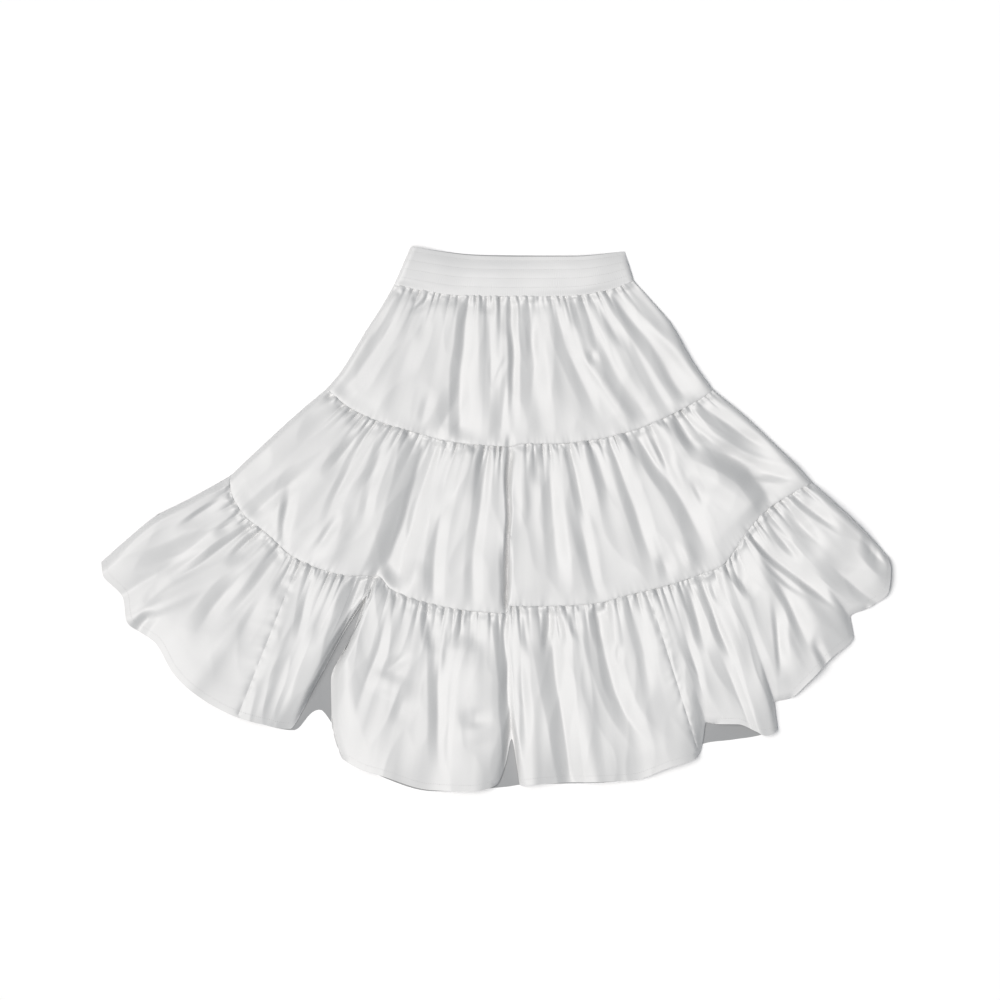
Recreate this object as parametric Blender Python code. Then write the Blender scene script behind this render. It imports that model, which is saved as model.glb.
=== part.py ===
"""Tiered ruffle skirt lying flat, its hem fanned out.

An elastic waistband carries three gathered tiers. Each tier has a front and a back panel, and the
bottom tier's front is pieced from three. The back lies on the floor, and the front lies on the back
with the loft of its gathers, rolling down to it at the sides and where the hem folds under.

A panel is a grid of ribs, which run down from its top seam to its lower seam or hem. A place on it is
(share, v): its share of the way across, 0 at the left side and 1 at the right, and v, 0 at the top
edge and 1 at the bottom one. Lengths are in millimetres up to the last step, which makes the meshes.
+X is to the wearer's left, +Y runs from hem to waist and +Z is up from the floor.
"""

import math
import random
from typing import NamedTuple

import bpy
import numpy as np

# ---------------------------------------------------------------- driving dimensions, mm
MM = 0.001
WALL = 1.2  # thickness of the cloth
SEAM_GAP = 0.3  # between pieces that are sewn together
LAYER_GAP = 0.3  # between the back layer and the front layer on it
FRONT_REST = WALL + LAYER_GAP  # height of the front's inside where it lies on the back
FOLD_RADIUS = 15.0  # of the rolled sides and of the hem where it turns under
BAND_FOLD_RADIUS = 7.0
SEAM_HOLD = 26.0  # a seam flattens the folds above it over this distance
GATHER_HOLD = 13.0  # and those below it over this one
FLANK_SLOPE = 0.46  # of the right flank of a fold that leans, at most
CREST_ROUND = 0.25  # how far a trough's flank rounds over at its top, as a share of it
SOFTNESS = 1.2  # of the clamp that keeps the front above the back
STEEPEST = 0.30  # lowest z of a unit normal that the wall's thickness follows

SKIRT = "skirt"  # the empty that carries every piece
SATIN_WHITE = (0.84, 0.84, 0.83, 1.0)
SATIN_ROUGHNESS = 0.42


# ---------------------------------------------------------------- tables
class Station(NamedTuple):
    """A point of a seam or hem line."""

    share: float
    x: float
    y: float


class Loft(NamedTuple):
    """Height of the cloth above the back layer at v."""

    v: float
    height: float


class Lobe(NamedTuple):
    """Height of the bottom hem above the back layer."""

    share: float
    height: float


class Bow(NamedTuple):
    """How far a side edge bulges out past its straight rib."""

    v: float
    left: float
    right: float


class Fold(NamedTuple):
    """A trough (height below 0) or ridge along a line of three shares, from start_v to end_v.

    lean above 1 makes its left flank the wider one.
    """

    start: float
    middle: float
    end: float
    start_v: float
    end_v: float
    width: float
    height: float
    lean: float = 1.0


class Gathers(NamedTuple):
    """The small pleats that a seam draws up: count, height at the seam and how it dies out."""

    count: int
    crest: float
    reach: float
    rest: float
    seed: int


WAIST_TOP = [
    Station(0.00, -120, 381), Station(0.33, -21, 369), Station(0.50, 29, 368), Station(0.75, 109, 368),
    Station(1.00, 180, 375),
]
WAIST_SEAM = [
    Station(0.00, -143, 328), Station(0.12, -106, 321), Station(0.27, -57, 314), Station(0.50, 22, 312),
    Station(0.73, 104, 313), Station(0.88, 153, 320), Station(1.00, 193, 334),
]
TIER_1_SEAM = [
    Station(0.000, -237, 183), Station(0.065, -204, 156), Station(0.160, -155, 134),
    Station(0.250, -106, 120), Station(0.320, -70, 110), Station(0.400, -22, 104),
    Station(0.485, 17, 102), Station(0.520, 41, 106), Station(0.600, 83, 106), Station(0.690, 134, 111),
    Station(0.790, 190, 124), Station(0.880, 241, 145), Station(0.960, 286, 169), Station(1.000, 304, 181),
]
TIER_2_SEAM = [
    Station(0.000, -372, 61), Station(0.018, -371, 44), Station(0.059, -354, 9), Station(0.107, -319, -20),
    Station(0.161, -280, -54), Station(0.209, -239, -71), Station(0.239, -211, -78),
    Station(0.287, -165, -79), Station(0.313, -148, -96), Station(0.366, -102, -115),
    Station(0.431, -42, -127), Station(0.485, 13, -131), Station(0.500, 21, -121),
    Station(0.557, 73, -121), Station(0.628, 140, -117), Station(0.671, 179, -107),
    Station(0.744, 246, -90), Station(0.784, 281, -78), Station(0.824, 316, -64), Station(0.855, 335, -40),
    Station(0.893, 356, -10), Station(0.927, 378, 13), Station(0.973, 416, 38), Station(1.000, 442, 52),
]
LEFT_PANEL_SEAM = 0.168  # shares of the two seams across the bottom tier's front
RIGHT_PANEL_SEAM = 0.707
FRONT_HEM = [
    Station(0.000, -552, -59), Station(0.030, -549, -78), Station(0.060, -521, -111),
    Station(0.080, -516, -142), Station(0.107, -476, -172), Station(0.131, -449, -216),
    Station(0.153, -403, -255), Station(0.168, -361, -276), Station(0.209, -326, -286),
    Station(0.250, -288, -293), Station(0.262, -249, -225), Station(0.275, -211, -155),
    Station(0.287, -185, -115), Station(0.293, -204, -169), Station(0.300, -231, -225),
    Station(0.306, -230, -280), Station(0.313, -213, -336), Station(0.366, -153, -360),
    Station(0.410, -92, -378), Station(0.445, -39, -380), Station(0.472, 1, -371),
    Station(0.482, 13, -344), Station(0.490, 22, -307), Station(0.497, 29, -344),
    Station(0.505, 34, -372), Station(0.535, 69, -369), Station(0.590, 132, -367),
    Station(0.645, 193, -364), Station(0.678, 238, -348), Station(0.707, 284, -329),
    Station(0.720, 290, -308), Station(0.728, 294, -284), Station(0.745, 307, -286),
    Station(0.765, 337, -286), Station(0.785, 363, -296), Station(0.800, 377, -302),
    Station(0.817, 394, -293), Station(0.832, 390, -257), Station(0.852, 412, -250),
    Station(0.870, 437, -227), Station(0.893, 468, -194), Station(0.915, 500, -162),
    Station(0.928, 496, -137), Station(0.947, 518, -125), Station(0.973, 549, -100),
    Station(0.988, 552, -69), Station(1.000, 548, -51),
]
BACK_HEM = [
    Station(0.000, -548, -58), Station(0.030, -545, -77), Station(0.060, -517, -110),
    Station(0.080, -511, -141), Station(0.107, -471, -172), Station(0.131, -444, -215),
    Station(0.153, -400, -252), Station(0.168, -362, -270), Station(0.209, -332, -285),
    Station(0.250, -284, -295), Station(0.285, -246, -266), Station(0.292, -229, -287),
    Station(0.300, -223, -303), Station(0.320, -205, -331), Station(0.366, -155, -362),
    Station(0.410, -92, -380), Station(0.445, -39, -381), Station(0.472, -6, -376),
    Station(0.490, 16, -374), Station(0.505, 36, -371), Station(0.535, 69, -370),
    Station(0.590, 132, -369), Station(0.645, 190, -364), Station(0.680, 236, -346),
    Station(0.707, 281, -326), Station(0.720, 290, -314), Station(0.765, 332, -308),
    Station(0.800, 372, -301), Station(0.817, 386, -290), Station(0.832, 387, -253),
    Station(0.852, 408, -246), Station(0.870, 433, -223), Station(0.893, 464, -190),
    Station(0.915, 494, -159), Station(0.928, 492, -132), Station(0.947, 514, -121),
    Station(0.973, 543, -98), Station(0.988, 547, -69), Station(1.000, 543, -51),
]
# Stretches of the front's hem that fold under, so that the back shows beyond them.
FOLDED_HEM = [(0.250, 0.313), (0.472, 0.505), (0.707, 0.745), (0.817, 0.852), (0.915, 0.947)]

NO_BOW = [Bow(0.0, 0, 0), Bow(1.0, 0, 0)]
TIER_1_BOW = [Bow(0.0, 0, 0), Bow(0.2, -2, 4), Bow(0.4, -2, 7), Bow(0.8, -4, 0), Bow(1.0, 0, 0)]
TIER_2_BOW = [Bow(0.0, 0, 0), Bow(0.35, 2, 4), Bow(0.8, 1, 3), Bow(1.0, 0, 0)]
TIER_3_BOW = [Bow(0.0, 0, 0), Bow(0.3, 5, 2), Bow(0.55, 11, 3), Bow(0.8, 6, 2), Bow(1.0, 0, 0)]

TIER_1_LOFT = [Loft(0.0, 5), Loft(0.15, 9), Loft(0.55, 12), Loft(0.85, 11), Loft(1.0, 7)]
TIER_2_LOFT = [Loft(0.0, 7), Loft(0.12, 12), Loft(0.5, 17), Loft(0.85, 15), Loft(1.0, 9)]
TIER_3_LOFT = [Loft(0.0, 9), Loft(0.12, 15), Loft(0.5, 19), Loft(0.85, 16), Loft(1.0, 12)]
HEM_LOBES = [
    Lobe(0.00, 6), Lobe(0.04, 13), Lobe(0.09, 8), Lobe(0.15, 15), Lobe(0.21, 12), Lobe(0.25, 5),
    Lobe(0.285, 1), Lobe(0.31, 6), Lobe(0.36, 15), Lobe(0.41, 9), Lobe(0.45, 14), Lobe(0.485, 2),
    Lobe(0.52, 12), Lobe(0.56, 7), Lobe(0.60, 14), Lobe(0.65, 8), Lobe(0.69, 14), Lobe(0.725, 3),
    Lobe(0.79, 13), Lobe(0.83, 4), Lobe(0.88, 14), Lobe(0.925, 3), Lobe(0.965, 13), Lobe(1.00, 5),
]

TIER_1_FOLDS = [
    Fold(0.078, 0.055, 0.028, 0.04, 1.00, 10, -4.5, 1.6),
    Fold(0.172, 0.176, 0.180, 0.08, 0.38, 14, -1.8),
    Fold(0.250, 0.250, 0.249, 0.68, 0.99, 12, -2.0, 0.7),
    Fold(0.326, 0.334, 0.354, 0.00, 1.00, 8, -9.0, 1.7),
    Fold(0.334, 0.318, 0.290, 0.60, 1.00, 13, -3.8, 1.6),
    Fold(0.400, 0.402, 0.404, 0.00, 0.13, 6, -3.5, 1.6),
    Fold(0.420, 0.425, 0.429, 0.12, 0.90, 7, -4.5, 1.8),
    Fold(0.472, 0.474, 0.475, 0.00, 0.26, 7, -4.5, 1.6),
    Fold(0.482, 0.458, 0.430, 0.36, 0.62, 6, -1.5, 0.8),
    Fold(0.486, 0.474, 0.458, 0.38, 1.00, 15, -3.5, 1.5),
    Fold(0.498, 0.499, 0.498, 0.00, 0.94, 6, -5.5, 0.9),
    Fold(0.577, 0.563, 0.528, 0.00, 0.88, 15, -7.5, 1.9),
    Fold(0.640, 0.660, 0.736, 0.02, 0.98, 7, -7.0, 1.3),
    Fold(0.765, 0.762, 0.755, 0.00, 0.48, 9, -6.0, 1.8),
    Fold(0.752, 0.750, 0.748, 0.37, 0.51, 8, -3.0),
    Fold(0.812, 0.822, 0.832, 0.30, 0.96, 11, -5.0, 1.9),
    Fold(0.818, 0.830, 0.838, 0.03, 0.46, 6, -5.5, 1.2),
    Fold(0.878, 0.883, 0.888, 0.28, 1.00, 10, -2.8, 1.8),
    Fold(0.893, 0.922, 0.928, 0.02, 1.00, 7, -8.5, 1.1),
    Fold(0.962, 0.978, 0.993, 0.02, 0.60, 8, -7.0, 1.3),
    Fold(0.372, 0.370, 0.372, 0.05, 0.95, 9, 2.0),
    Fold(0.596, 0.606, 0.610, 0.04, 0.90, 14, 3.0),
    Fold(0.685, 0.690, 0.695, 0.00, 0.28, 8, 3.0),
    Fold(0.700, 0.757, 0.792, 0.30, 1.00, 7, 3.5, 0.8),
    Fold(0.926, 0.960, 0.992, 0.12, 0.95, 6, 3.0),
]
TIER_2_FOLDS = [
    Fold(0.120, 0.121, 0.118, 0.08, 0.50, 7, -5.0, 1.7),
    Fold(0.180, 0.195, 0.192, 0.06, 0.52, 6, -3.5, 1.8),
    Fold(0.200, 0.213, 0.229, 0.24, 0.70, 6, -2.5, 1.5),
    Fold(0.087, 0.079, 0.070, 0.48, 1.00, 8, -8.5, 1.3),
    Fold(0.262, 0.291, 0.291, 0.03, 1.00, 14, -14.5, 1.6),
    Fold(0.342, 0.346, 0.353, 0.00, 0.46, 6, -4.5, 1.8),
    Fold(0.350, 0.362, 0.383, 0.30, 1.00, 6, -5.0, 1.2),
    Fold(0.410, 0.421, 0.438, 0.00, 1.00, 6, -4.5, 0.8),
    Fold(0.414, 0.426, 0.433, 0.00, 0.44, 8, -3.5, 0.7),
    Fold(0.488, 0.488, 0.487, 0.00, 1.00, 4, -15.0),
    Fold(0.487, 0.487, 0.487, 0.55, 1.00, 10, -9.0),
    Fold(0.489, 0.489, 0.489, 0.00, 0.32, 6, -5.0),
    Fold(0.550, 0.549, 0.548, 0.00, 0.28, 7, -3.5, 1.6),
    Fold(0.577, 0.578, 0.574, 0.00, 1.00, 7, -6.5, 1.7),
    Fold(0.637, 0.637, 0.636, 0.00, 0.55, 6, -6.0, 1.8),
    Fold(0.617, 0.622, 0.631, 0.34, 1.00, 6, -5.0, 0.9),
    Fold(0.680, 0.683, 0.681, 0.00, 0.50, 6, -5.5, 0.7),
    Fold(0.734, 0.731, 0.722, 0.00, 1.00, 8, -8.0, 1.3),
    Fold(0.743, 0.742, 0.740, 0.78, 1.00, 7, -4.5, 1.6),
    Fold(0.790, 0.816, 0.806, 0.00, 0.98, 9, -9.5, 1.8),
    Fold(0.785, 0.783, 0.781, 0.72, 1.00, 7, 3.5, 0.8),
    Fold(0.882, 0.884, 0.887, 0.00, 0.37, 8, -10.0, 1.2),
    Fold(0.912, 0.916, 0.926, 0.00, 0.42, 8, -6.5, 1.6),
    Fold(0.886, 0.937, 0.947, 0.25, 0.86, 15, -17.0, 1.7),
    Fold(0.946, 0.941, 0.938, 0.58, 1.00, 13, -10.0, 1.7),
    Fold(0.954, 0.968, 0.993, 0.00, 0.70, 9, -10.0, 1.5),
    Fold(0.925, 0.941, 0.986, 0.04, 0.82, 5, 5.0),
    Fold(0.938, 0.966, 0.992, 0.64, 0.98, 12, -6.0, 1.2),
    Fold(0.374, 0.376, 0.380, 0.00, 0.40, 12, 3.5),
    Fold(0.516, 0.517, 0.518, 0.00, 0.56, 5, 3.0),
    Fold(0.345, 0.347, 0.350, 0.74, 1.00, 11, 3.0),
    Fold(0.600, 0.602, 0.604, 0.10, 0.98, 10, 3.0),
    Fold(0.658, 0.660, 0.662, 0.00, 0.56, 11, 3.5),
    Fold(0.205, 0.204, 0.203, 0.60, 1.00, 12, 3.0),
    Fold(0.752, 0.750, 0.748, 0.00, 0.34, 8, 3.0),
    Fold(0.848, 0.838, 0.822, 0.00, 0.60, 7, 3.0),
    Fold(0.858, 0.900, 0.914, 0.30, 1.00, 11, 7.5, 1.6),
    Fold(0.866, 0.864, 0.862, 0.00, 0.40, 6, 3.5, 1.4),
]
TIER_3_FOLDS = [
    Fold(0.026, 0.030, 0.037, 0.01, 0.45, 5, -4.5, 1.3),
    Fold(0.052, 0.061, 0.048, 0.14, 0.78, 12, -8.5, 1.9),
    Fold(0.061, 0.058, 0.050, 0.36, 0.98, 18, -4.5, 1.3),
    Fold(0.060, 0.061, 0.061, 0.00, 0.26, 5, -5.0, 1.3),
    Fold(0.079, 0.082, 0.078, 0.00, 0.72, 8, -8.5, 1.4),
    Fold(0.095, 0.097, 0.098, 0.00, 0.34, 6, -6.0, 1.4),
    Fold(0.078, 0.078, 0.077, 0.62, 0.92, 11, -3.0, 1.6),
    Fold(0.090, 0.090, 0.092, 0.82, 1.00, 12, -7.0),
    Fold(0.117, 0.121, 0.124, 0.22, 0.82, 11, -7.5, 1.8),
    Fold(0.136, 0.138, 0.134, 0.00, 0.74, 7, -6.0, 1.6),
    Fold(0.157, 0.158, 0.157, 0.00, 0.28, 6, -4.5, 1.5),
    Fold(0.149, 0.150, 0.148, 0.24, 0.66, 5, -3.0, 1.4),
    Fold(0.197, 0.200, 0.213, 0.00, 0.48, 7, -5.0, 1.5),
    Fold(0.236, 0.238, 0.240, 0.14, 0.48, 16, -3.5, 1.6),
    Fold(0.250, 0.252, 0.255, 0.45, 1.00, 60, -4.0, 1.5),
    Fold(0.262, 0.268, 0.276, 0.00, 1.00, 15, -9.0, 1.5),
    Fold(0.282, 0.284, 0.286, 0.00, 0.70, 9, -12.0),
    Fold(0.322, 0.316, 0.311, 0.04, 0.84, 6, -5.0, 1.3),
    Fold(0.362, 0.345, 0.328, 0.29, 0.47, 14, -4.5),
    Fold(0.368, 0.365, 0.362, 0.50, 0.72, 26, -3.0),
    Fold(0.374, 0.383, 0.393, 0.00, 0.27, 9, -6.0, 1.5),
    Fold(0.388, 0.404, 0.415, 0.00, 1.00, 10, -9.0, 1.5),
    Fold(0.431, 0.426, 0.416, 0.00, 0.23, 8, -5.0, 1.4),
    Fold(0.443, 0.443, 0.443, 0.02, 0.24, 13, -4.0),
    Fold(0.420, 0.422, 0.424, 0.12, 0.92, 5, -1.2),
    Fold(0.450, 0.450, 0.450, 0.52, 0.66, 26, -2.5),
    Fold(0.478, 0.484, 0.488, 0.00, 1.00, 11, -12.0, 1.4),
    Fold(0.503, 0.508, 0.511, 0.22, 1.00, 11, -5.5, 1.4),
    Fold(0.519, 0.523, 0.525, 0.00, 0.30, 6, -5.0, 1.6),
    Fold(0.556, 0.561, 0.565, 0.00, 1.00, 17, -13.0, 1.7),
    Fold(0.556, 0.553, 0.548, 0.00, 0.28, 7, -6.0),
    Fold(0.572, 0.572, 0.573, 0.03, 0.24, 5, -3.5),
    Fold(0.626, 0.628, 0.631, 0.00, 0.29, 9, -5.5, 1.4),
    Fold(0.632, 0.636, 0.669, 0.00, 1.00, 12, -11.0, 1.8),
    Fold(0.651, 0.648, 0.645, 0.23, 0.37, 10, -2.5),
    Fold(0.680, 0.680, 0.677, 0.00, 0.64, 7, -5.0, 1.5),
    Fold(0.741, 0.740, 0.739, 0.24, 0.90, 15, -4.0, 1.3),
    Fold(0.763, 0.761, 0.759, 0.00, 0.54, 8, -7.5, 1.5),
    Fold(0.785, 0.787, 0.788, 0.00, 0.58, 9, -9.0, 1.6),
    Fold(0.770, 0.772, 0.775, 0.42, 1.00, 22, -7.0, 1.3),
    Fold(0.800, 0.800, 0.801, 0.01, 0.22, 5, -4.0, 1.4),
    Fold(0.837, 0.843, 0.851, 0.00, 0.33, 7, -9.0, 1.4),
    Fold(0.875, 0.862, 0.847, 0.38, 0.88, 5, -5.0, 1.3),
    Fold(0.884, 0.886, 0.880, 0.10, 0.98, 7, -6.5, 1.5),
    Fold(0.885, 0.904, 0.921, 0.00, 0.84, 5, -8.5, 1.4),
    Fold(0.919, 0.917, 0.921, 0.00, 0.44, 6, -10.0),
    Fold(0.946, 0.948, 0.947, 0.04, 0.44, 13, -9.5, 1.7),
    Fold(0.925, 0.938, 0.948, 0.50, 1.00, 18, -11.5, 1.3),
    Fold(0.971, 0.975, 0.981, 0.00, 0.46, 5, -6.0, 1.3),
    Fold(0.986, 0.986, 0.988, 0.62, 0.96, 14, -9.0, 1.3),
    Fold(0.888, 0.888, 0.888, 0.80, 1.00, 8, -5.0),
    Fold(0.144, 0.143, 0.142, 0.42, 1.00, 12, 4.0),
    Fold(0.192, 0.186, 0.184, 0.45, 0.80, 20, 2.5),
    Fold(0.345, 0.344, 0.343, 0.42, 0.58, 30, 3.5),
    Fold(0.400, 0.402, 0.404, 0.04, 0.42, 5, 3.5),
    Fold(0.449, 0.450, 0.451, 0.14, 0.60, 24, 5.5),
    Fold(0.452, 0.452, 0.452, 0.60, 0.76, 22, 2.5),
    Fold(0.524, 0.526, 0.524, 0.22, 1.00, 8, 3.5),
    Fold(0.590, 0.592, 0.598, 0.25, 1.00, 20, 3.0),
    Fold(0.655, 0.662, 0.672, 0.36, 0.98, 18, 4.0),
    Fold(0.800, 0.803, 0.805, 0.12, 0.66, 18, 4.5),
    Fold(0.864, 0.867, 0.866, 0.52, 0.98, 10, 3.5),
    Fold(0.896, 0.897, 0.900, 0.42, 0.92, 12, 4.0),
    Fold(0.960, 0.959, 0.957, 0.08, 0.52, 13, 5.0),
]

TIER_1_GATHERS = Gathers(count=30, crest=2.8, reach=17, rest=0.10, seed=11)
TIER_2_GATHERS = Gathers(count=45, crest=3.2, reach=18, rest=0.12, seed=23)
TIER_3_GATHERS = Gathers(count=70, crest=3.4, reach=20, rest=0.15, seed=37)
GATHER_UNEVEN = 0.30  # how far a gather's width strays from the mean, as a share of it
GATHER_HEIGHTS = (0.45, 1.35)  # range of a gather's height, as a share of the crest

TIER_ROWS = (0.0, 0.03, 0.09, 0.18, 0.32, 0.50, 0.70, 0.88, 1.0)
BOTTOM_ROWS = (0.0, 0.03, 0.08, 0.16, 0.28, 0.43, 0.60, 0.77, 0.91, 1.0)
BAND_ROWS = (0.0, 0.11, 0.22, 0.33, 0.44, 0.56, 0.67, 0.78, 0.89, 1.0)
BAND_COLUMNS = 24
BAND_SIDE_COLUMNS = (0.006, 0.016)
BAND_LOFT = 4.2
BAND_EDGE = 0.55  # the band's loft at its edges, as a share of its loft
BAND_WAVES = 4.5  # swells between the rows of stitching that hold the elastic
BAND_CHANNEL = 0.5  # depth of those rows
BACK_COLUMNS = 72
BACK_ROWS = (0.0, 0.5, 1.0)
BACK_BAND_RISE = 2.5  # how far the back of the band shows above its front
SIDE_COLUMNS = (1.5, 5.0, 14.0)  # distances of the columns that shape a rolled side, mm
BOW_REACH = 0.12  # share of the way across over which a side's bow dies out
FOLD_TAPER = 0.45  # length over which a fold fades in or out, as a share of its own
LOBE_START = 0.7  # v from which the hem's lobes shape the loft
SEAM_FOLDS = 0.35  # share of a fold's height that is left at a seam
FEW_SHARES = np.linspace(0, 1, 11)


# ---------------------------------------------------------------- curves
def interpolate(places, values, where):
    """Cubic curve through the values that never overshoots them."""
    places, values = np.array(places, float), np.array(values, float)
    steps, slopes = np.diff(places), np.diff(values) / np.diff(places)
    bends = np.zeros(len(places))
    bends[0], bends[-1] = slopes[0], slopes[-1]
    for i in range(1, len(places) - 1):
        before, after = slopes[i - 1], slopes[i]
        if before * after > 0:
            heavy, light = 2 * steps[i] + steps[i - 1], steps[i] + 2 * steps[i - 1]
            bends[i] = (heavy + light) / (heavy / before + light / after)
    i = np.clip(np.searchsorted(places, where, side="right") - 1, 0, len(places) - 2)
    t = (where - places[i]) / steps[i]
    return (
        (2 * t**3 - 3 * t**2 + 1) * values[i]
        + (t**3 - 2 * t**2 + t) * steps[i] * bends[i]
        + (3 * t**2 - 2 * t**3) * values[i + 1]
        + (t**3 - t**2) * steps[i] * bends[i + 1]
    )


def along(stations, share):
    """Points of a seam or hem line, as an array of (x, y)."""
    places = [station.share for station in stations]
    return np.stack(
        [
            interpolate(places, [station.x for station in stations], share),
            interpolate(places, [station.y for station in stations], share),
        ],
        axis=-1,
    )


def smooth(t):
    t = np.clip(t, 0, 1)
    return t * t * (3 - 2 * t)


def rolled(distance, radius):
    """Height of a folded edge that rolls down to the layer under it, as a share of full height."""
    t = np.clip(distance / radius, 0, 1)
    return np.sqrt(np.clip(1 - (1 - t) ** 2, 0, 1))


def unit(vectors):
    return vectors / np.linalg.norm(vectors, axis=-1, keepdims=True)


def line_length(stations):
    points = along(stations, np.linspace(0, 1, 401))
    return np.linalg.norm(np.diff(points, axis=0), axis=1).sum()


def distance_to_line(points, line):
    """Distance of each point to a polyline, in plan."""
    nearest = np.full(points.shape[:-1], np.inf)
    for start, end in zip(line[:-1], line[1:]):
        run = end - start
        t = np.clip(((points - start) @ run) / (run @ run), 0, 1)
        nearest = np.minimum(nearest, np.linalg.norm(points - start - t[..., None] * run, axis=-1))
    return nearest


# ---------------------------------------------------------------- a panel's plan
class Panel(NamedTuple):
    """The lines that bound a panel, and whether its lower line is a seam."""

    top: list
    bottom: list
    bow: list
    seam_below: bool


def inset_line(stations, share, distance):
    """Points of a seam line, moved by the distance to its upper side."""
    step = 0.004
    run = along(stations, np.clip(share + step, 0, 1)) - along(stations, np.clip(share - step, 0, 1))
    tangent = unit(run)
    return along(stations, share) + distance * np.stack([-tangent[:, 1], tangent[:, 0]], axis=-1)


def plan_of(panel, share, v):
    """(x, y) of each place on the panel."""
    upper = inset_line(panel.top, share, -SEAM_GAP / 2)
    lower = inset_line(panel.bottom, share, SEAM_GAP / 2 if panel.seam_below else 0)
    rib = unit(lower - upper)
    to_right = np.stack([-rib[:, 1], rib[:, 0]], axis=-1)
    places = [row.v for row in panel.bow]
    left = interpolate(places, [row.left for row in panel.bow], v) * smooth(1 - share / BOW_REACH)
    right = interpolate(places, [row.right for row in panel.bow], v) * smooth(1 - (1 - share) / BOW_REACH)
    return upper + (lower - upper) * v[:, None] + to_right * (right - left)[:, None]


def places_of(columns, rows):
    """share and v of every point of a grid whose rows each have their own columns."""
    share = np.concatenate([columns[row] for row in range(len(rows))])
    v = np.concatenate([np.full(len(columns[row]), rows[row]) for row in range(len(rows))])
    return share, v


def crest_shares(gathers):
    """Shares of the crests and troughs of a tier's gathers, uneven in width."""
    draw = random.Random(gathers.seed)
    widths = [1 + GATHER_UNEVEN * draw.uniform(-1, 1) for _ in range(2 * gathers.count)]
    return np.concatenate([[0], np.cumsum(widths)]) / sum(widths)


def tier_columns(gathers, top, needed=()):
    """A column on each crest and trough, three to shape each rolled side, and the shares needed."""
    near_side = np.array(SIDE_COLUMNS) / line_length(top)
    inner = crest_shares(gathers)[2:-2]
    inner = inner[(inner > near_side[-1] * 1.3) & (inner < 1 - near_side[-1] * 1.3)]
    shares = np.concatenate([[0], near_side, inner, 1 - near_side[::-1], [1]])
    return with_places(shares, needed)


def with_places(shares, needed):
    """Moves the nearest columns onto the shares needed, where that keeps their order."""
    shares = shares.copy()
    moved = {0, len(shares) - 1}
    for place in needed:
        for near in np.argsort(np.abs(shares - place))[:2]:
            if near not in moved and shares[near - 1] < place < shares[near + 1]:
                shares[near] = place
                moved.add(near)
                break
    return shares


# ---------------------------------------------------------------- a panel's heights
def fold_heights(folds, share, v, span):
    """Sum of the ridges and troughs; span is the row's length across, mm for a share of 1."""
    total = np.zeros_like(share)
    for fold in folds:
        t = np.clip((v - fold.start_v) / (fold.end_v - fold.start_v), 0, 1)
        centre = (
            fold.start * (1 - t) * (1 - 2 * t) + fold.middle * 4 * t * (1 - t) + fold.end * t * (2 * t - 1)
        )
        across = (share - centre) * span
        right = fold.width / fold.lean
        if fold.lean > 1:
            right = max(right, abs(fold.height) / FLANK_SLOPE)
        flank = np.where(across < 0, fold.width * fold.lean, right)
        fade = np.ones_like(v)
        taper = FOLD_TAPER * (fold.end_v - fold.start_v)
        if fold.start_v > 0:
            fade = fade * smooth((v - fold.start_v) / taper)
        if fold.end_v < 1:
            fade = fade * smooth((fold.end_v - v) / taper)
        away = np.abs(across / flank)
        if fold.height > 0:
            total += fold.height * fade * np.exp(-(away**2))
        else:
            total += fold.height * fade * (1 - away + np.hypot(1 - away, CREST_ROUND)) / 2
    return total


def gather_heights(gathers, share, v, length):
    """Crests and troughs in turn across the tier, which die out away from the seam above."""
    draw = random.Random(gathers.seed + 1)
    places = crest_shares(gathers)
    sizes = [draw.uniform(*GATHER_HEIGHTS) * (-1) ** i for i in range(len(places))]
    fade = np.exp(-v * length / gathers.reach)
    return np.interp(share, places, sizes) * (gathers.rest + (gathers.crest - gathers.rest) * fade)


def above_back(height):
    """Keeps a height above the back layer, with a soft bend where it would go below."""
    return np.logaddexp(0, height / SOFTNESS) * SOFTNESS


def edge_distance(panel, plan):
    """Distance in plan of each point to the panel's folded edges."""
    v = np.linspace(0, 1, 9)
    edges = [plan_of(panel, np.full(9, side), v) for side in (0.0, 1.0)]
    if not panel.seam_below:
        edges += [along(panel.bottom, np.linspace(*ends, 13)) for ends in FOLDED_HEM]
    return np.min([distance_to_line(plan, edge) for edge in edges], axis=0)


def tier_heights(panel, plan, share, v, loft, folds, gathers):
    """Height of a tier's front above the back layer."""
    top_length, bottom_length = line_length(panel.top), line_length(panel.bottom)
    length = np.linalg.norm(along(panel.bottom, FEW_SHARES) - along(panel.top, FEW_SHARES), axis=1).mean()
    height = interpolate([row.v for row in loft], [row.height for row in loft], v)
    hold = smooth(v * length / GATHER_HOLD)
    if panel.seam_below:
        hold = hold * smooth((1 - v) * length / SEAM_HOLD)
    else:
        lobe = interpolate([row.share for row in HEM_LOBES], [row.height for row in HEM_LOBES], share)
        height = height + smooth((v - LOBE_START) / (1 - LOBE_START)) * (lobe - loft[-1].height)
    folded = fold_heights(folds, share, v, top_length * (1 - v) + bottom_length * v)
    height = height + (SEAM_FOLDS + (1 - SEAM_FOLDS) * hold) * folded
    height = above_back(height + gather_heights(gathers, share, v, length))
    return height * rolled(edge_distance(panel, plan), FOLD_RADIUS)


# ---------------------------------------------------------------- meshes
def satin():
    material = bpy.data.materials.new("satin_white")
    material.use_nodes = True
    surface = material.node_tree.nodes["Principled BSDF"]
    surface.inputs["Base Color"].default_value = SATIN_WHITE
    surface.inputs["Roughness"].default_value = SATIN_ROUGHNESS
    surface.inputs["Metallic"].default_value = 0.0
    return material


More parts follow.
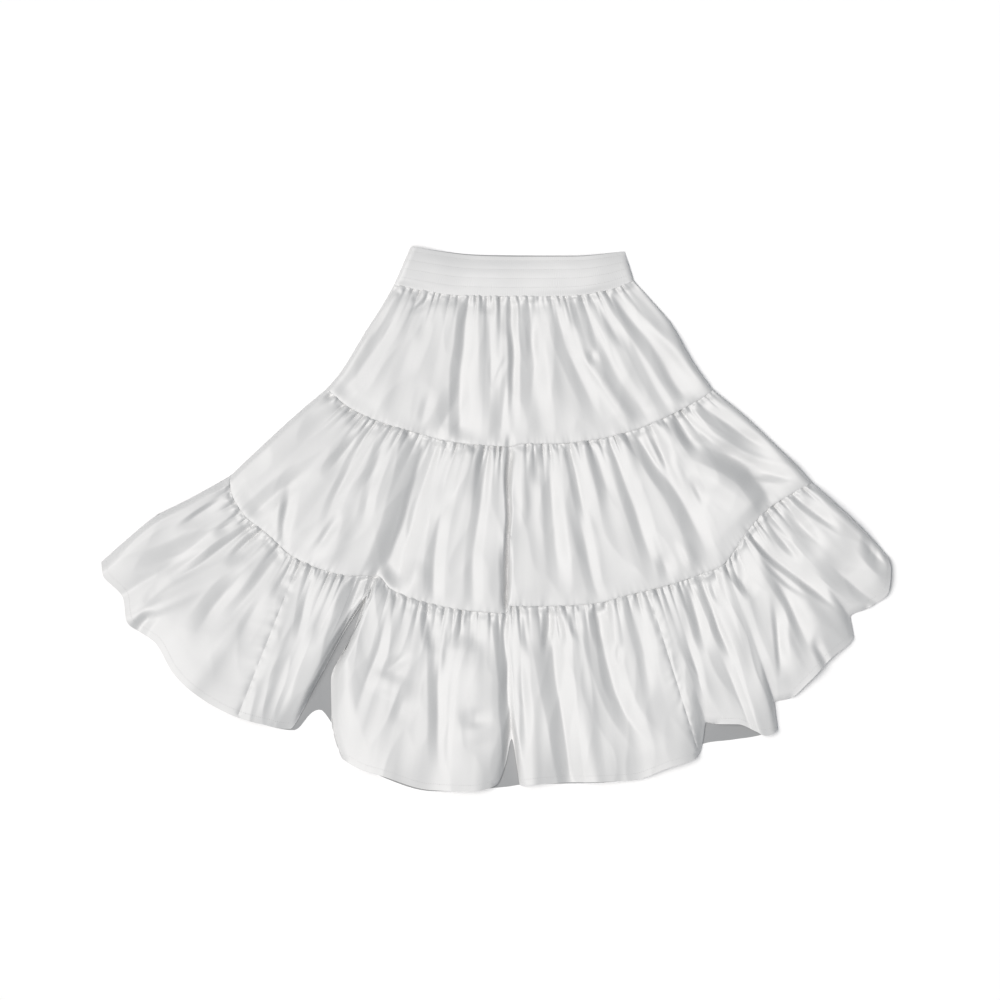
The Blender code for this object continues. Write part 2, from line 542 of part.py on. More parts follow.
def strip_triangles(upper, lower, first_upper, first_lower):
    """Triangles facing up between two rows of columns, given as shares."""
    found = []
    i = j = 0
    while i < len(upper) - 1 or j < len(lower) - 1:
        a, b = first_upper + i, first_lower + j
        if j == len(lower) - 1 or (i < len(upper) - 1 and upper[i + 1] <= lower[j + 1]):
            found.append((a, b, a + 1))
            i += 1
        else:
            found.append((a, b, b + 1))
            j += 1
    return found


def point_normals(points, faces):
    normals = np.zeros_like(points)
    corners = points[faces]
    faced = np.cross(corners[:, 1] - corners[:, 0], corners[:, 2] - corners[:, 0])
    for corner in range(3):
        np.add.at(normals, faces[:, corner], faced)
    return unit(normals)


def cloth_solid(name, columns, plan, inside):
    """A wall of cloth over a grid: its inside at these heights, its outside a thickness above."""
    starts = np.concatenate([[0], np.cumsum([len(row) for row in columns])])
    upward = []
    for row in range(len(columns) - 1):
        upward += strip_triangles(columns[row], columns[row + 1], starts[row], starts[row + 1])
    upward = np.array(upward)
    surface = np.column_stack([plan, inside])
    outside = surface.copy()
    outside[:, 2] += WALL / np.maximum(point_normals(surface, upward)[:, 2], STEEPEST)
    count = len(surface)
    rim = list(range(starts[0], starts[1])) + [start - 1 for start in starts[2:]]
    rim += list(range(count - 2, starts[-2] - 1, -1)) + list(starts[-3:0:-1])
    faces = [tuple(face) for face in upward + count] + [tuple(face[::-1]) for face in upward]
    for a, b in zip(rim, rim[1:] + rim[:1]):
        faces += [(b, a, a + count), (b, a + count, b + count)]
    mesh = bpy.data.meshes.new(name)
    mesh.from_pydata((np.concatenate([surface, outside]) * MM).tolist(), [], faces)
    mesh.shade_smooth()
    mesh.set_sharp_from_angle(angle=math.radians(60))
    mesh.materials.append(satin())
    obj = bpy.data.objects.new(name, mesh)
    obj.parent = bpy.data.objects[SKIRT]
    bpy.context.scene.collection.objects.link(obj)
    return obj


def part_gap(plan, columns, ends):
    """Moves a piece's side columns in, where a seam joins it to its neighbour in the same tier."""
    first = np.cumsum([0] + [len(row) for row in columns[:-1]])
    last = first + [len(row) - 1 for row in columns]
    if ends[0] > 0:
        plan[first] += SEAM_GAP / 2 * unit(plan[first + 1] - plan[first])
    if ends[1] < 1:
        plan[last] += SEAM_GAP / 2 * unit(plan[last - 1] - plan[last])
    return plan


def front_panel(name, panel, columns, rows, loft, folds, gathers, ends=(0.0, 1.0)):
    """A gathered panel of the front, from one share to another of its tier."""
    columns = [row[(row >= ends[0]) & (row <= ends[1])] for row in columns]
    share, v = places_of(columns, rows)
    plan = part_gap(plan_of(panel, share, v), columns, ends)
    height = tier_heights(panel, plan, share, v, loft, folds, gathers)
    return cloth_solid(name, columns, plan, FRONT_REST + height)


def back_panel(name, panel):
    """A panel of the back, flat on the floor."""
    columns = [np.linspace(0, 1, BACK_COLUMNS + 1)] * len(BACK_ROWS)
    if not panel.seam_below:
        columns = columns[:-1] + [with_places(columns[-1], [station.share for station in panel.bottom])]
    share, v = places_of(columns, BACK_ROWS)
    return cloth_solid(name, columns, plan_of(panel, share, v), np.zeros(len(share)))


def waistband_front(panel, lower_columns):
    """The band's front: wide elastic, sewn through in rows."""
    near = np.array(BAND_SIDE_COLUMNS)
    inner = np.linspace(0, 1, BAND_COLUMNS + 1)[1:-1]
    columns = [np.concatenate([[0], near, inner, 1 - near[::-1], [1]])] * (len(BAND_ROWS) - 1)
    columns.append(lower_columns)
    share, v = places_of(columns, BAND_ROWS)
    plan = plan_of(panel, share, v)
    height = BAND_LOFT * (BAND_EDGE + (1 - BAND_EDGE) * np.sqrt(np.sin(math.pi * np.clip(v, 0, 1)).clip(0)))
    height -= BAND_CHANNEL * (1 - np.cos(2 * math.pi * BAND_WAVES * v)) / 2
    height *= rolled(edge_distance(panel, plan), BAND_FOLD_RADIUS)
    return cloth_solid("waistband_front", columns, plan, FRONT_REST + height)


def build():
    for obj in list(bpy.data.objects):
        bpy.data.objects.remove(obj, do_unlink=True)
    bpy.context.scene.collection.objects.link(bpy.data.objects.new(SKIRT, None))

    band = Panel(WAIST_TOP, WAIST_SEAM, NO_BOW, True)
    tier_1 = Panel(WAIST_SEAM, TIER_1_SEAM, TIER_1_BOW, True)
    tier_2 = Panel(TIER_1_SEAM, TIER_2_SEAM, TIER_2_BOW, True)
    tier_3 = Panel(TIER_2_SEAM, FRONT_HEM, TIER_3_BOW, False)

    # The lowest row of each tier takes the columns of the tier below, so that the seams agree.
    columns_1 = tier_columns(TIER_1_GATHERS, WAIST_SEAM)
    columns_2 = tier_columns(TIER_2_GATHERS, TIER_1_SEAM)
    needed = [LEFT_PANEL_SEAM, RIGHT_PANEL_SEAM] + [station.share for station in FRONT_HEM[1:-1]]
    columns_3 = tier_columns(TIER_3_GATHERS, TIER_2_SEAM, needed)

    waistband_front(band, columns_1)
    front_panel(
        "tier_1_front", tier_1, [columns_1] * (len(TIER_ROWS) - 1) + [columns_2], TIER_ROWS,
        TIER_1_LOFT, TIER_1_FOLDS, TIER_1_GATHERS,
    )
    front_panel(
        "tier_2_front", tier_2, [columns_2] * (len(TIER_ROWS) - 1) + [columns_3], TIER_ROWS,
        TIER_2_LOFT, TIER_2_FOLDS, TIER_2_GATHERS,
    )
    for side, ends in {
        "left": (0.0, LEFT_PANEL_SEAM),
        "middle": (LEFT_PANEL_SEAM, RIGHT_PANEL_SEAM),
        "right": (RIGHT_PANEL_SEAM, 1.0),
    }.items():
        front_panel(
            f"tier_3_front_{side}", tier_3, [columns_3] * len(BOTTOM_ROWS), BOTTOM_ROWS,
            TIER_3_LOFT, TIER_3_FOLDS, TIER_3_GATHERS, ends,
        )

    raised_top = [Station(row.share, row.x, row.y + BACK_BAND_RISE) for row in WAIST_TOP]
    back_panel("waistband_back", band._replace(top=raised_top))
    back_panel("tier_1_back", tier_1)
    back_panel("tier_2_back", tier_2)
    back_panel("tier_3_back", tier_3._replace(bottom=BACK_HEM))


build()
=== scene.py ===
"""Looks of the tiered ruffle skirt, which lies flat with its hem fanned out.

Each panel of the frame is replaced by a thin shell of satin on the same seam lines, with the same
folds and gathers and finer ones between them. A place on a panel is (share, v): its share of the way
across, 0 at the left side and 1 at the right, and v, 0 at the top edge and 1 at the bottom one.
Lengths are in millimetres up to the last step, which makes the meshes. +X is to the wearer's left, +Y
runs from hem to waist and +Z is up from the floor.
"""

import math
import random
from collections import namedtuple

import bpy
import numpy as np
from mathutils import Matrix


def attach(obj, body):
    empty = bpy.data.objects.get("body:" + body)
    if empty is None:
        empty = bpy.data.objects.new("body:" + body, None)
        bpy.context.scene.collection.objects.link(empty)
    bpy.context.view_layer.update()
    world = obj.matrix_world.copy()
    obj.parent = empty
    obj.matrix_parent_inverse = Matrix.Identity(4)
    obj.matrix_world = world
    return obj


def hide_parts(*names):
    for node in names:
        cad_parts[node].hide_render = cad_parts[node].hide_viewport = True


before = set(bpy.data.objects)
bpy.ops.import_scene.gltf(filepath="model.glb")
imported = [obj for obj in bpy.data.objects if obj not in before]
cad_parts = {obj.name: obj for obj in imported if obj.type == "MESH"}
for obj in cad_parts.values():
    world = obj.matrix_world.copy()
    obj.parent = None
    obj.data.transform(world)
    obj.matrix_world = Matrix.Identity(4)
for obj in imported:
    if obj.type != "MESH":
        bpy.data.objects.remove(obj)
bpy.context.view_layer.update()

# ---- sizes, mm
MM = 0.001
CLOTH = 0.8  # thickness of a shell
SHARP_EDGE = 65  # degrees past which an edge is shaded sharp
FRONT_REST = 1.9  # height of the front's outside where it lies on the back
SIDE_DROP = 0.7  # how much lower the rolled sides end, to meet the back
SIDE_REACH = 6.0  # distance over which they drop
FOLD_RADIUS = 10.0  # of the rolled sides and of the hem where it turns under
BAND_FOLD_RADIUS = 7.0
SOFTNESS = 1.0  # of the clamp that keeps the front above the back
BOW_REACH = 0.12  # share of the way across over which a side's bow dies out
LOBE_START = 0.7  # v from which the hem's lobes shape the loft

SEAM_HOLD = 26.0  # a seam flattens the folds above it over this distance
GATHER_HOLD = 13.0  # and those below it over this one
SEAM_BLEND = 13.0  # distance over which two tiers come to one height at their seam
BAND_SEAM_BLEND = 7.0  # and the waistband to its own
SEAM_DITCH = 1.5  # depth of the ditch below a seam
EDGE_DITCH = 0.8  # and above it
WAIST_DITCH = 0.2  # and at the waistband's lower edge
DITCH_WIDTH = 1.7
TUCK = 0.9  # how far a gathered edge goes in under the edge above it
TUCK_DROP = 0.7
LIP_DEPTH = 2.8  # how far the edge above turns down over it
LIP_INSET = 0.4
LIP_LOWEST = 0.95  # height at which it meets the back layer

FOLD_DEPTH = 0.84  # height of the folds, as a share of what the tables give
FOLD_TAPER = 0.45  # length over which a fold fades in or out, as a share of its own
RIDGE_CURVE = 1.8  # how flat a ridge's crest is
TROUGH_CURVE = 1.2  # a trough's flank steepens towards its bottom; 1 would be straight
BOTTOM_ROUND = 2.0  # how round a trough's bottom is
STEEPEST = 0.28  # slope of the right flank of a trough that leans, at most
SEAM_FOLDS = 0.28  # share of a fold's height that is left at a seam
DEEP_SEAM_FOLDS = 0.7  # and of a deep one's, which runs on through the seam
DEEP_FOLD = 10.0

TOP_STEP = 1.35  # distance between columns along a gathered edge
BOTTOM_STEP = 3.1  # and along the edge below it
ROW_STEP = 2.8
NEAR_EDGE = (0.5, 1.1, 1.8, 2.6, 3.5, 4.6, 5.9, 7.4, 9.2, 11.2)  # rows close to a seam or hem
NEAR_SIDE = (0.3, 0.8, 1.6, 2.8, 4.4, 6.6, 9.4)  # columns close to a rolled side
SIDE_GAP = 1.15  # room left between those and the even columns, as a share of the last
BAND_STEP = 0.95
BAND_ROW_STEP = 1.3
BAND_NEAR_EDGE = (0.4, 0.9, 1.6)
BACK_STEPS = (3.2, 5.0)
BACK_ROW_STEP = 5.5
BACK_NEAR_EDGE = (1.2, 3.0, 5.5)
FEW_SHARES = np.linspace(0, 1, 11)  # enough to average a panel's length
SEAM_SHARES = np.linspace(0, 1, 801)


# ---- tables
Station = namedtuple("Station", "share x y")  # a point of a seam or hem line
Loft = namedtuple("Loft", "v height")  # of the cloth above the back layer
Lobe = namedtuple("Lobe", "share height")  # of a hem, or of the band, along its length
Bow = namedtuple("Bow", "v left right")  # how far the side edges bulge out past a straight rib
# A trough (height below 0) or ridge along a line of three shares. lean above 1 widens its left flank.
Fold = namedtuple("Fold", "start middle end start_v end_v width height lean", defaults=[1.0])
# The pleats that a seam draws up: how many, their height at the seam and how far down they reach.
Gathers = namedtuple("Gathers", "count crest reach seed")
# Small creases that run down from a gathered seam, each drawn from these ranges.
Tucks = namedtuple("Tucks", "count narrowest widest deepest highest shortest longest seed")
# Unevenness over a whole panel. squeeze below 1 draws it out down the panel.
Swell = namedtuple("Swell", "height size squeeze seed")
# All that shapes one panel of the front. slits are the shares of its deepest folds.
Tier = namedtuple("Tier", "top bottom bow seam_below loft folds gathers tucks slits seed")


def table(kind, *rows):
    return [kind(*row) for row in rows]


WAIST_TOP = table(
    Station,
    (0, -120, 381), (0.33, -21, 369), (0.5, 29, 368), (0.75, 109, 368), (1, 180, 375),
)
WAIST_SEAM = table(
    Station,
    (0, -143, 328), (0.12, -106, 321), (0.27, -57, 314), (0.5, 22, 312), (0.73, 104, 313), (0.88, 153, 320),
    (1, 193, 334),
)
TIER_1_SEAM = table(
    Station,
    (0, -237, 183), (0.065, -204, 156), (0.16, -155, 134), (0.25, -106, 120), (0.32, -70, 110),
    (0.4, -22, 104), (0.485, 17, 102), (0.52, 41, 106), (0.6, 83, 106), (0.69, 134, 111), (0.79, 190, 124),
    (0.88, 241, 145), (0.96, 286, 169), (1, 304, 181),
)
TIER_2_SEAM = table(
    Station,
    (0, -372, 61), (0.018, -371, 44), (0.059, -354, 9), (0.107, -319, -20), (0.161, -280, -54),
    (0.209, -239, -71), (0.239, -211, -78), (0.287, -165, -79), (0.313, -148, -96), (0.366, -102, -115),
    (0.431, -42, -127), (0.485, 13, -131), (0.5, 21, -121), (0.557, 73, -121), (0.628, 140, -117),
    (0.671, 179, -107), (0.744, 246, -90), (0.784, 281, -78), (0.824, 316, -64), (0.855, 335, -40),
    (0.893, 356, -10), (0.927, 378, 13), (0.973, 416, 38), (1, 442, 52),
)
LEFT_PANEL_SEAM = 0.168  # shares of the two seams across the bottom tier's front
RIGHT_PANEL_SEAM = 0.707
FRONT_HEM = table(
    Station,
    (0, -552, -59), (0.03, -549, -78), (0.06, -521, -111), (0.08, -516, -142), (0.107, -476, -172),
    (0.131, -449, -216), (0.153, -403, -255), (0.168, -361, -276), (0.209, -326, -286), (0.25, -288, -293),
    (0.262, -249, -225), (0.275, -211, -155), (0.287, -185, -115), (0.293, -204, -169), (0.3, -231, -225),
    (0.306, -230, -280), (0.313, -213, -336), (0.366, -153, -360), (0.41, -92, -378), (0.445, -39, -380),
    (0.472, 1, -371), (0.482, 13, -344), (0.49, 22, -307), (0.497, 29, -344), (0.505, 34, -372),
    (0.535, 69, -369), (0.59, 132, -367), (0.645, 193, -364), (0.678, 238, -348), (0.707, 284, -329),
    (0.72, 290, -308), (0.728, 294, -284), (0.745, 307, -286), (0.765, 337, -286), (0.785, 363, -296),
    (0.8, 377, -302), (0.817, 394, -293), (0.832, 390, -257), (0.852, 412, -250), (0.87, 437, -227),
    (0.893, 468, -194), (0.915, 500, -162), (0.928, 496, -137), (0.947, 518, -125), (0.973, 549, -100),
    (0.988, 552, -69), (1, 548, -51),
)
BACK_HEM = table(
    Station,
    (0, -548, -58), (0.03, -545, -77), (0.06, -517, -110), (0.08, -511, -141), (0.107, -471, -172),
    (0.131, -444, -215), (0.153, -400, -252), (0.168, -362, -270), (0.209, -332, -285), (0.25, -284, -295),
    (0.285, -246, -266), (0.292, -229, -287), (0.3, -223, -303), (0.32, -205, -331), (0.366, -155, -362),
    (0.41, -92, -380), (0.445, -39, -381), (0.472, -6, -376), (0.49, 16, -374), (0.505, 36, -371),
    (0.535, 69, -370), (0.59, 132, -369), (0.645, 190, -364), (0.68, 236, -346), (0.707, 281, -326),
    (0.72, 290, -314), (0.765, 332, -308), (0.8, 372, -301), (0.817, 386, -290), (0.832, 387, -253),
    (0.852, 408, -246), (0.87, 433, -223), (0.893, 464, -190), (0.915, 494, -159), (0.928, 492, -132),
    (0.947, 514, -121), (0.973, 543, -98), (0.988, 547, -69), (1, 543, -51),
)
# Stretches of the front's hem that fold under, so that the back shows beyond them.
FOLDED_HEM = [(0.25, 0.313), (0.472, 0.505), (0.707, 0.745), (0.817, 0.852), (0.915, 0.947)]

NO_BOW = table(Bow, (0, 0, 0), (1, 0, 0))
TIER_1_BOW = table(Bow, (0, 0, 0), (0.2, -2, 4), (0.4, -2, 7), (0.8, -4, 0), (1, 0, 0))
TIER_2_BOW = table(Bow, (0, 0, 0), (0.35, 2, 4), (0.8, 1, 3), (1, 0, 0))
TIER_3_BOW = table(Bow, (0, 0, 0), (0.3, 5, 2), (0.55, 11, 3), (0.8, 6, 2), (1, 0, 0))

TIER_1_LOFT = table(Loft, (0, 6.5), (0.15, 9), (0.55, 11.5), (0.85, 11), (1, 9))
TIER_2_LOFT = table(Loft, (0, 10.5), (0.12, 12.5), (0.5, 15.5), (0.85, 15), (1, 12))
TIER_3_LOFT = table(Loft, (0, 13), (0.12, 15.5), (0.5, 18), (0.85, 16), (1, 12))
HEM_LOBES = table(
    Lobe,
    (0, 6), (0.04, 13), (0.09, 8), (0.15, 15), (0.21, 12), (0.25, 5), (0.285, 1), (0.31, 6), (0.36, 15),
    (0.41, 9), (0.45, 14), (0.485, 2), (0.52, 12), (0.56, 7), (0.6, 14), (0.65, 8), (0.69, 14), (0.725, 3),
    (0.79, 13), (0.83, 4), (0.88, 14), (0.925, 3), (0.965, 13), (1, 5),
)
# How the band's front rises and falls along its length.
BAND_SWAY = table(Lobe, (0, 6.4), (0.3, -1.2), (0.5, -0.4), (0.82, 3.4), (1, -1.6))

TIER_1_FOLDS = table(
    Fold,
    (0.08, 0.056, 0.026, 0, 1, 10, -4, 1.7), (0.022, 0.018, 0.012, 0.12, 0.52, 3, -3),
    (0.178, 0.15, 0.112, 0, 0.2, 4, -4, 1.4), (0.172, 0.176, 0.18, 0.08, 0.38, 14, -1.8),
    (0.25, 0.25, 0.249, 0.68, 0.99, 12, -2, 0.7), (0.326, 0.334, 0.354, 0, 1, 8, -7.5, 1.6),
    (0.334, 0.318, 0.29, 0.6, 1, 13, -3.8, 1.6), (0.4, 0.402, 0.404, 0, 0.13, 6, -3.5, 1.6),
    (0.416, 0.421, 0.425, 0, 0.86, 9, -4.5, 1.8), (0.48, 0.481, 0.482, 0, 0.3, 8, -3.2, 1.5),
    (0.482, 0.458, 0.43, 0.36, 0.62, 6, -1.5, 0.8), (0.486, 0.474, 0.458, 0.38, 1, 15, -3.5, 1.5),
    (0.498, 0.499, 0.498, 0, 0.94, 6, -5.5, 0.9), (0.577, 0.563, 0.528, 0, 0.88, 15, -7.5, 1.9),
    (0.564, 0.561, 0.556, 0.12, 0.46, 4, -2.5, 1.5), (0.66, 0.684, 0.735, 0, 0.92, 9, -5, 1.7),
    (0.776, 0.773, 0.766, 0, 0.5, 10, -4.8, 1.8), (0.752, 0.75, 0.748, 0.37, 0.51, 8, -3),
    (0.802, 0.818, 0.832, 0.16, 1, 12, -4.6, 1.9), (0.826, 0.838, 0.846, 0, 0.46, 9, -5, 1.5),
    (0.878, 0.882, 0.888, 0.28, 1, 11, -3.8, 1.9), (0.894, 0.922, 0.93, 0, 1, 9, -7.8, 1.5),
    (0.968, 0.982, 0.994, 0, 0.62, 9, -6.5, 1.5), (0.372, 0.37, 0.372, 0.05, 0.95, 9, 2),
    (0.596, 0.606, 0.61, 0.04, 0.9, 14, 3), (0.685, 0.69, 0.695, 0, 0.28, 8, 3),
    (0.7, 0.757, 0.792, 0.3, 1, 7, 3.5, 0.8), (0.796, 0.818, 0.838, 0.05, 0.94, 4, 3.5, 1.3),
    (0.926, 0.96, 0.992, 0.12, 0.95, 6, 3), (0.036, 0.038, 0.041, 0, 0.09, 4, -2.5),
    (0.106, 0.108, 0.111, 0, 0.11, 3.5, -3),
)
TIER_2_FOLDS = table(
    Fold,
    (0.12, 0.121, 0.118, 0.08, 0.5, 7, -5, 1.7), (0.135, 0.152, 0.176, 0, 0.82, 6, -3.8, 1.5),
    (0.18, 0.195, 0.192, 0.06, 0.52, 6, -3.5, 1.8), (0.2, 0.213, 0.229, 0.24, 0.7, 6, -2.5, 1.5),
    (0.185, 0.182, 0.178, 0.58, 0.99, 4, -2.5, 1.8), (0.087, 0.079, 0.07, 0.48, 1, 12, -4, 1.5),
    (0.085, 0.106, 0.137, 0.6, 1, 7, -3.5, 1.3), (0.08, 0.098, 0.126, 0.66, 0.99, 6, 2.5),
    (0.262, 0.291, 0.291, 0, 1, 16, -12.5, 1.9), (0.3, 0.308, 0.32, 0, 1, 11, -5.5, 1.8),
    (0.342, 0.346, 0.353, 0, 0.46, 9, -4.5, 1.8), (0.35, 0.362, 0.383, 0.3, 1, 9, -4.2, 1.5),
    (0.418, 0.428, 0.44, 0, 1, 8, -3, 1.4), (0.424, 0.431, 0.437, 0, 0.44, 11, -3.2, 1.6),
    (0.488, 0.488, 0.487, 0, 1, 4, -11), (0.487, 0.487, 0.487, 0.55, 1, 10, -9),
    (0.489, 0.489, 0.489, 0, 0.32, 6, -5), (0.55, 0.549, 0.548, 0, 0.28, 7, -3.5, 1.6),
    (0.577, 0.578, 0.574, 0, 0.95, 9, -4.5, 1.7), (0.637, 0.637, 0.636, 0, 0.55, 6, -6, 1.8),
    (0.624, 0.628, 0.634, 0.34, 1, 9, -3.4, 1.4), (0.688, 0.69, 0.688, 0, 0.46, 9, -4.2, 1.3),
    (0.73, 0.729, 0.723, 0, 0.98, 9, -5.5, 1.5), (0.743, 0.742, 0.74, 0.78, 1, 7, -4.5, 1.6),
    (0.79, 0.814, 0.806, 0, 0.98, 10, -7.5, 1.8), (0.827, 0.827, 0.824, 0.01, 0.32, 3.5, -4, 1.4),
    (0.852, 0.851, 0.849, 0.41, 0.66, 4, -3, 1.5), (0.785, 0.783, 0.781, 0.72, 1, 7, 3.5, 0.8),
    (0.884, 0.886, 0.889, 0, 0.37, 9, -8, 1.3), (0.912, 0.916, 0.926, 0, 0.42, 8, -6.5, 1.6),
    (0.886, 0.937, 0.947, 0.25, 0.86, 15, -17, 1.7), (0.946, 0.941, 0.938, 0.58, 1, 13, -10, 1.7),
    (0.954, 0.968, 0.993, 0, 0.7, 9, -10, 1.5), (0.925, 0.941, 0.986, 0.04, 0.82, 5, 5),
    (0.938, 0.966, 0.992, 0.64, 0.98, 12, -6, 1.2), (0.374, 0.376, 0.38, 0, 0.4, 12, 3.5),
    (0.516, 0.517, 0.518, 0, 0.56, 5, 3), (0.345, 0.347, 0.35, 0.74, 1, 11, 3),
    (0.6, 0.602, 0.604, 0.1, 0.98, 10, 3), (0.658, 0.66, 0.662, 0, 0.56, 11, 3.5),
    (0.205, 0.204, 0.203, 0.6, 1, 12, 3), (0.752, 0.75, 0.748, 0, 0.34, 8, 3),
    (0.811, 0.812, 0.813, 0.02, 0.36, 4, 3.5), (0.848, 0.838, 0.822, 0, 0.6, 7, 3),
    (0.858, 0.9, 0.914, 0.3, 1, 11, 7.5, 1.6), (0.866, 0.864, 0.862, 0, 0.4, 6, 3.5, 1.4),
)
TIER_3_FOLDS = table(
    Fold,
    (0.026, 0.03, 0.037, 0.01, 0.45, 5, -4.5, 1.3), (0.052, 0.061, 0.048, 0.14, 0.78, 12, -6.5, 1.9),
    (0.07, 0.064, 0.056, 0.3, 1, 30, -8, 1.9), (0.06, 0.061, 0.061, 0, 0.26, 5, -5, 1.3),
    (0.079, 0.082, 0.078, 0, 0.72, 8, -8.5, 1.4), (0.095, 0.097, 0.098, 0, 0.34, 6, -6, 1.4),
    (0.078, 0.078, 0.077, 0.62, 0.92, 11, -3, 1.6), (0.09, 0.09, 0.092, 0.82, 1, 12, -7),
    (0.117, 0.121, 0.124, 0.22, 0.82, 11, -7.5, 1.8), (0.136, 0.138, 0.134, 0, 0.74, 7, -4.5, 1.6),
    (0.157, 0.158, 0.157, 0, 0.28, 6, -4.5, 1.5), (0.149, 0.15, 0.148, 0.24, 0.66, 5, -3, 1.4),
    (0.197, 0.2, 0.213, 0, 0.48, 9, -3.5, 1.5), (0.236, 0.238, 0.24, 0.14, 0.48, 16, -3.5, 1.6),
    (0.25, 0.252, 0.255, 0.45, 1, 60, -4, 1.5), (0.262, 0.268, 0.276, 0, 1, 15, -9, 1.5),
    (0.282, 0.284, 0.286, 0, 0.7, 9, -12), (0.322, 0.316, 0.311, 0.04, 0.84, 6, -4.4, 1.3),
    (0.362, 0.345, 0.328, 0.28, 0.48, 18, -3.4), (0.368, 0.365, 0.362, 0.5, 0.72, 26, -3),
    (0.374, 0.383, 0.393, 0, 0.27, 9, -6, 1.5), (0.397, 0.406, 0.418, 0, 0.96, 10, -5.8, 1.6),
    (0.431, 0.426, 0.416, 0, 0.23, 8, -5, 1.4), (0.443, 0.443, 0.443, 0.02, 0.24, 13, -4),
    (0.42, 0.422, 0.424, 0.12, 0.92, 5, -1.2), (0.45, 0.45, 0.45, 0.52, 0.66, 26, -2.5),
    (0.481, 0.486, 0.488, 0, 1, 11, -9, 1.5), (0.511, 0.514, 0.518, 0.1, 0.84, 15, -4.2, 1.8),
    (0.519, 0.523, 0.525, 0, 0.3, 6, -5, 1.6), (0.556, 0.561, 0.567, 0, 1, 18, -8.6, 1.8),
    (0.556, 0.553, 0.548, 0, 0.28, 7, -6), (0.572, 0.572, 0.573, 0.03, 0.24, 5, -3.5),
    (0.59, 0.59, 0.591, 0, 0.2, 4, -4.5, 1.4), (0.626, 0.628, 0.631, 0, 0.29, 9, -5.5, 1.4),
    (0.634, 0.636, 0.685, 0, 0.95, 16, -7.6, 1.9), (0.651, 0.648, 0.645, 0.23, 0.37, 10, -2.5),
    (0.68, 0.68, 0.677, 0, 0.64, 8, -3.2, 1.5), (0.741, 0.74, 0.739, 0.24, 0.9, 15, -4, 1.3),
    (0.763, 0.761, 0.759, 0, 0.54, 8, -7.5, 1.5), (0.785, 0.787, 0.788, 0, 0.58, 9, -9, 1.6),
    (0.775, 0.777, 0.78, 0.42, 1, 26, -5.5, 1.8), (0.8, 0.8, 0.801, 0.01, 0.22, 5, -4, 1.4),
    (0.837, 0.843, 0.851, 0, 0.33, 7, -9, 1.4), (0.875, 0.862, 0.847, 0.38, 0.88, 5, -5, 1.3),
    (0.884, 0.886, 0.88, 0.1, 0.98, 7, -6.5, 1.5), (0.885, 0.904, 0.921, 0, 0.84, 5, -8.5, 1.4),
    (0.886, 0.893, 0.907, 0.13, 0.64, 4, -4.5, 1.3), (0.919, 0.917, 0.921, 0, 0.44, 7, -7, 1.2),
    (0.948, 0.95, 0.95, 0.02, 0.5, 17, -11.5, 1.8), (0.945, 0.95, 0.958, 0.5, 1, 17, -11.5, 1.8),
    (0.971, 0.975, 0.981, 0, 0.46, 6, -4.5, 1.3), (0.986, 0.986, 0.988, 0.62, 0.96, 14, -9, 1.3),
    (0.888, 0.888, 0.888, 0.8, 1, 8, -5), (0.096, 0.092, 0.078, 0.46, 1, 9, 3),
    (0.144, 0.143, 0.142, 0.42, 1, 12, 4), (0.192, 0.186, 0.184, 0.45, 0.8, 20, 2.5),
    (0.345, 0.344, 0.343, 0.42, 0.58, 30, 3.5), (0.4, 0.402, 0.404, 0.04, 0.42, 5, 3.5),
    (0.449, 0.45, 0.451, 0.14, 0.6, 24, 5.5), (0.452, 0.452, 0.452, 0.6, 0.76, 22, 2.5),
    (0.524, 0.526, 0.524, 0.22, 1, 9, 1.6), (0.59, 0.592, 0.598, 0.25, 1, 20, 3),
    (0.655, 0.662, 0.672, 0.36, 0.98, 18, 4), (0.8, 0.803, 0.805, 0.12, 0.66, 18, 4.5),
    (0.864, 0.867, 0.866, 0.52, 0.98, 10, 3.5), (0.896, 0.897, 0.9, 0.42, 0.92, 12, 4),
    (0.96, 0.959, 0.957, 0.08, 0.52, 13, 5),
)
# Creases pressed into the back, which lies on the floor: ridges up into the skirt.
BACK_1_FOLDS = table(
    Fold,
    (0.08, 0.09, 0.08, 0, 0.7, 6, 1.6), (0.21, 0.19, 0.18, 0, 1, 9, 2), (0.34, 0.36, 0.35, 0, 0.45, 5, 1.4),
    (0.46, 0.47, 0.49, 0, 1, 8, 2.2), (0.6, 0.61, 0.63, 0.1, 0.9, 7, 1.7),
    (0.73, 0.75, 0.76, 0, 1, 10, 2.1), (0.88, 0.9, 0.91, 0, 0.6, 6, 1.6),
)
BACK_2_FOLDS = table(
    Fold,
    (0.07, 0.07, 0.06, 0, 0.6, 7, 1.8), (0.16, 0.15, 0.15, 0, 1, 10, 2.2),
    (0.27, 0.28, 0.27, 0, 0.5, 6, 1.6), (0.36, 0.35, 0.35, 0.05, 1, 12, 2.4),
    (0.47, 0.48, 0.48, 0, 0.8, 8, 2), (0.58, 0.58, 0.59, 0, 1, 9, 2.3), (0.69, 0.7, 0.7, 0, 0.45, 6, 1.7),
    (0.79, 0.8, 0.8, 0.1, 1, 11, 2.2), (0.91, 0.92, 0.93, 0, 0.7, 7, 1.8),
)
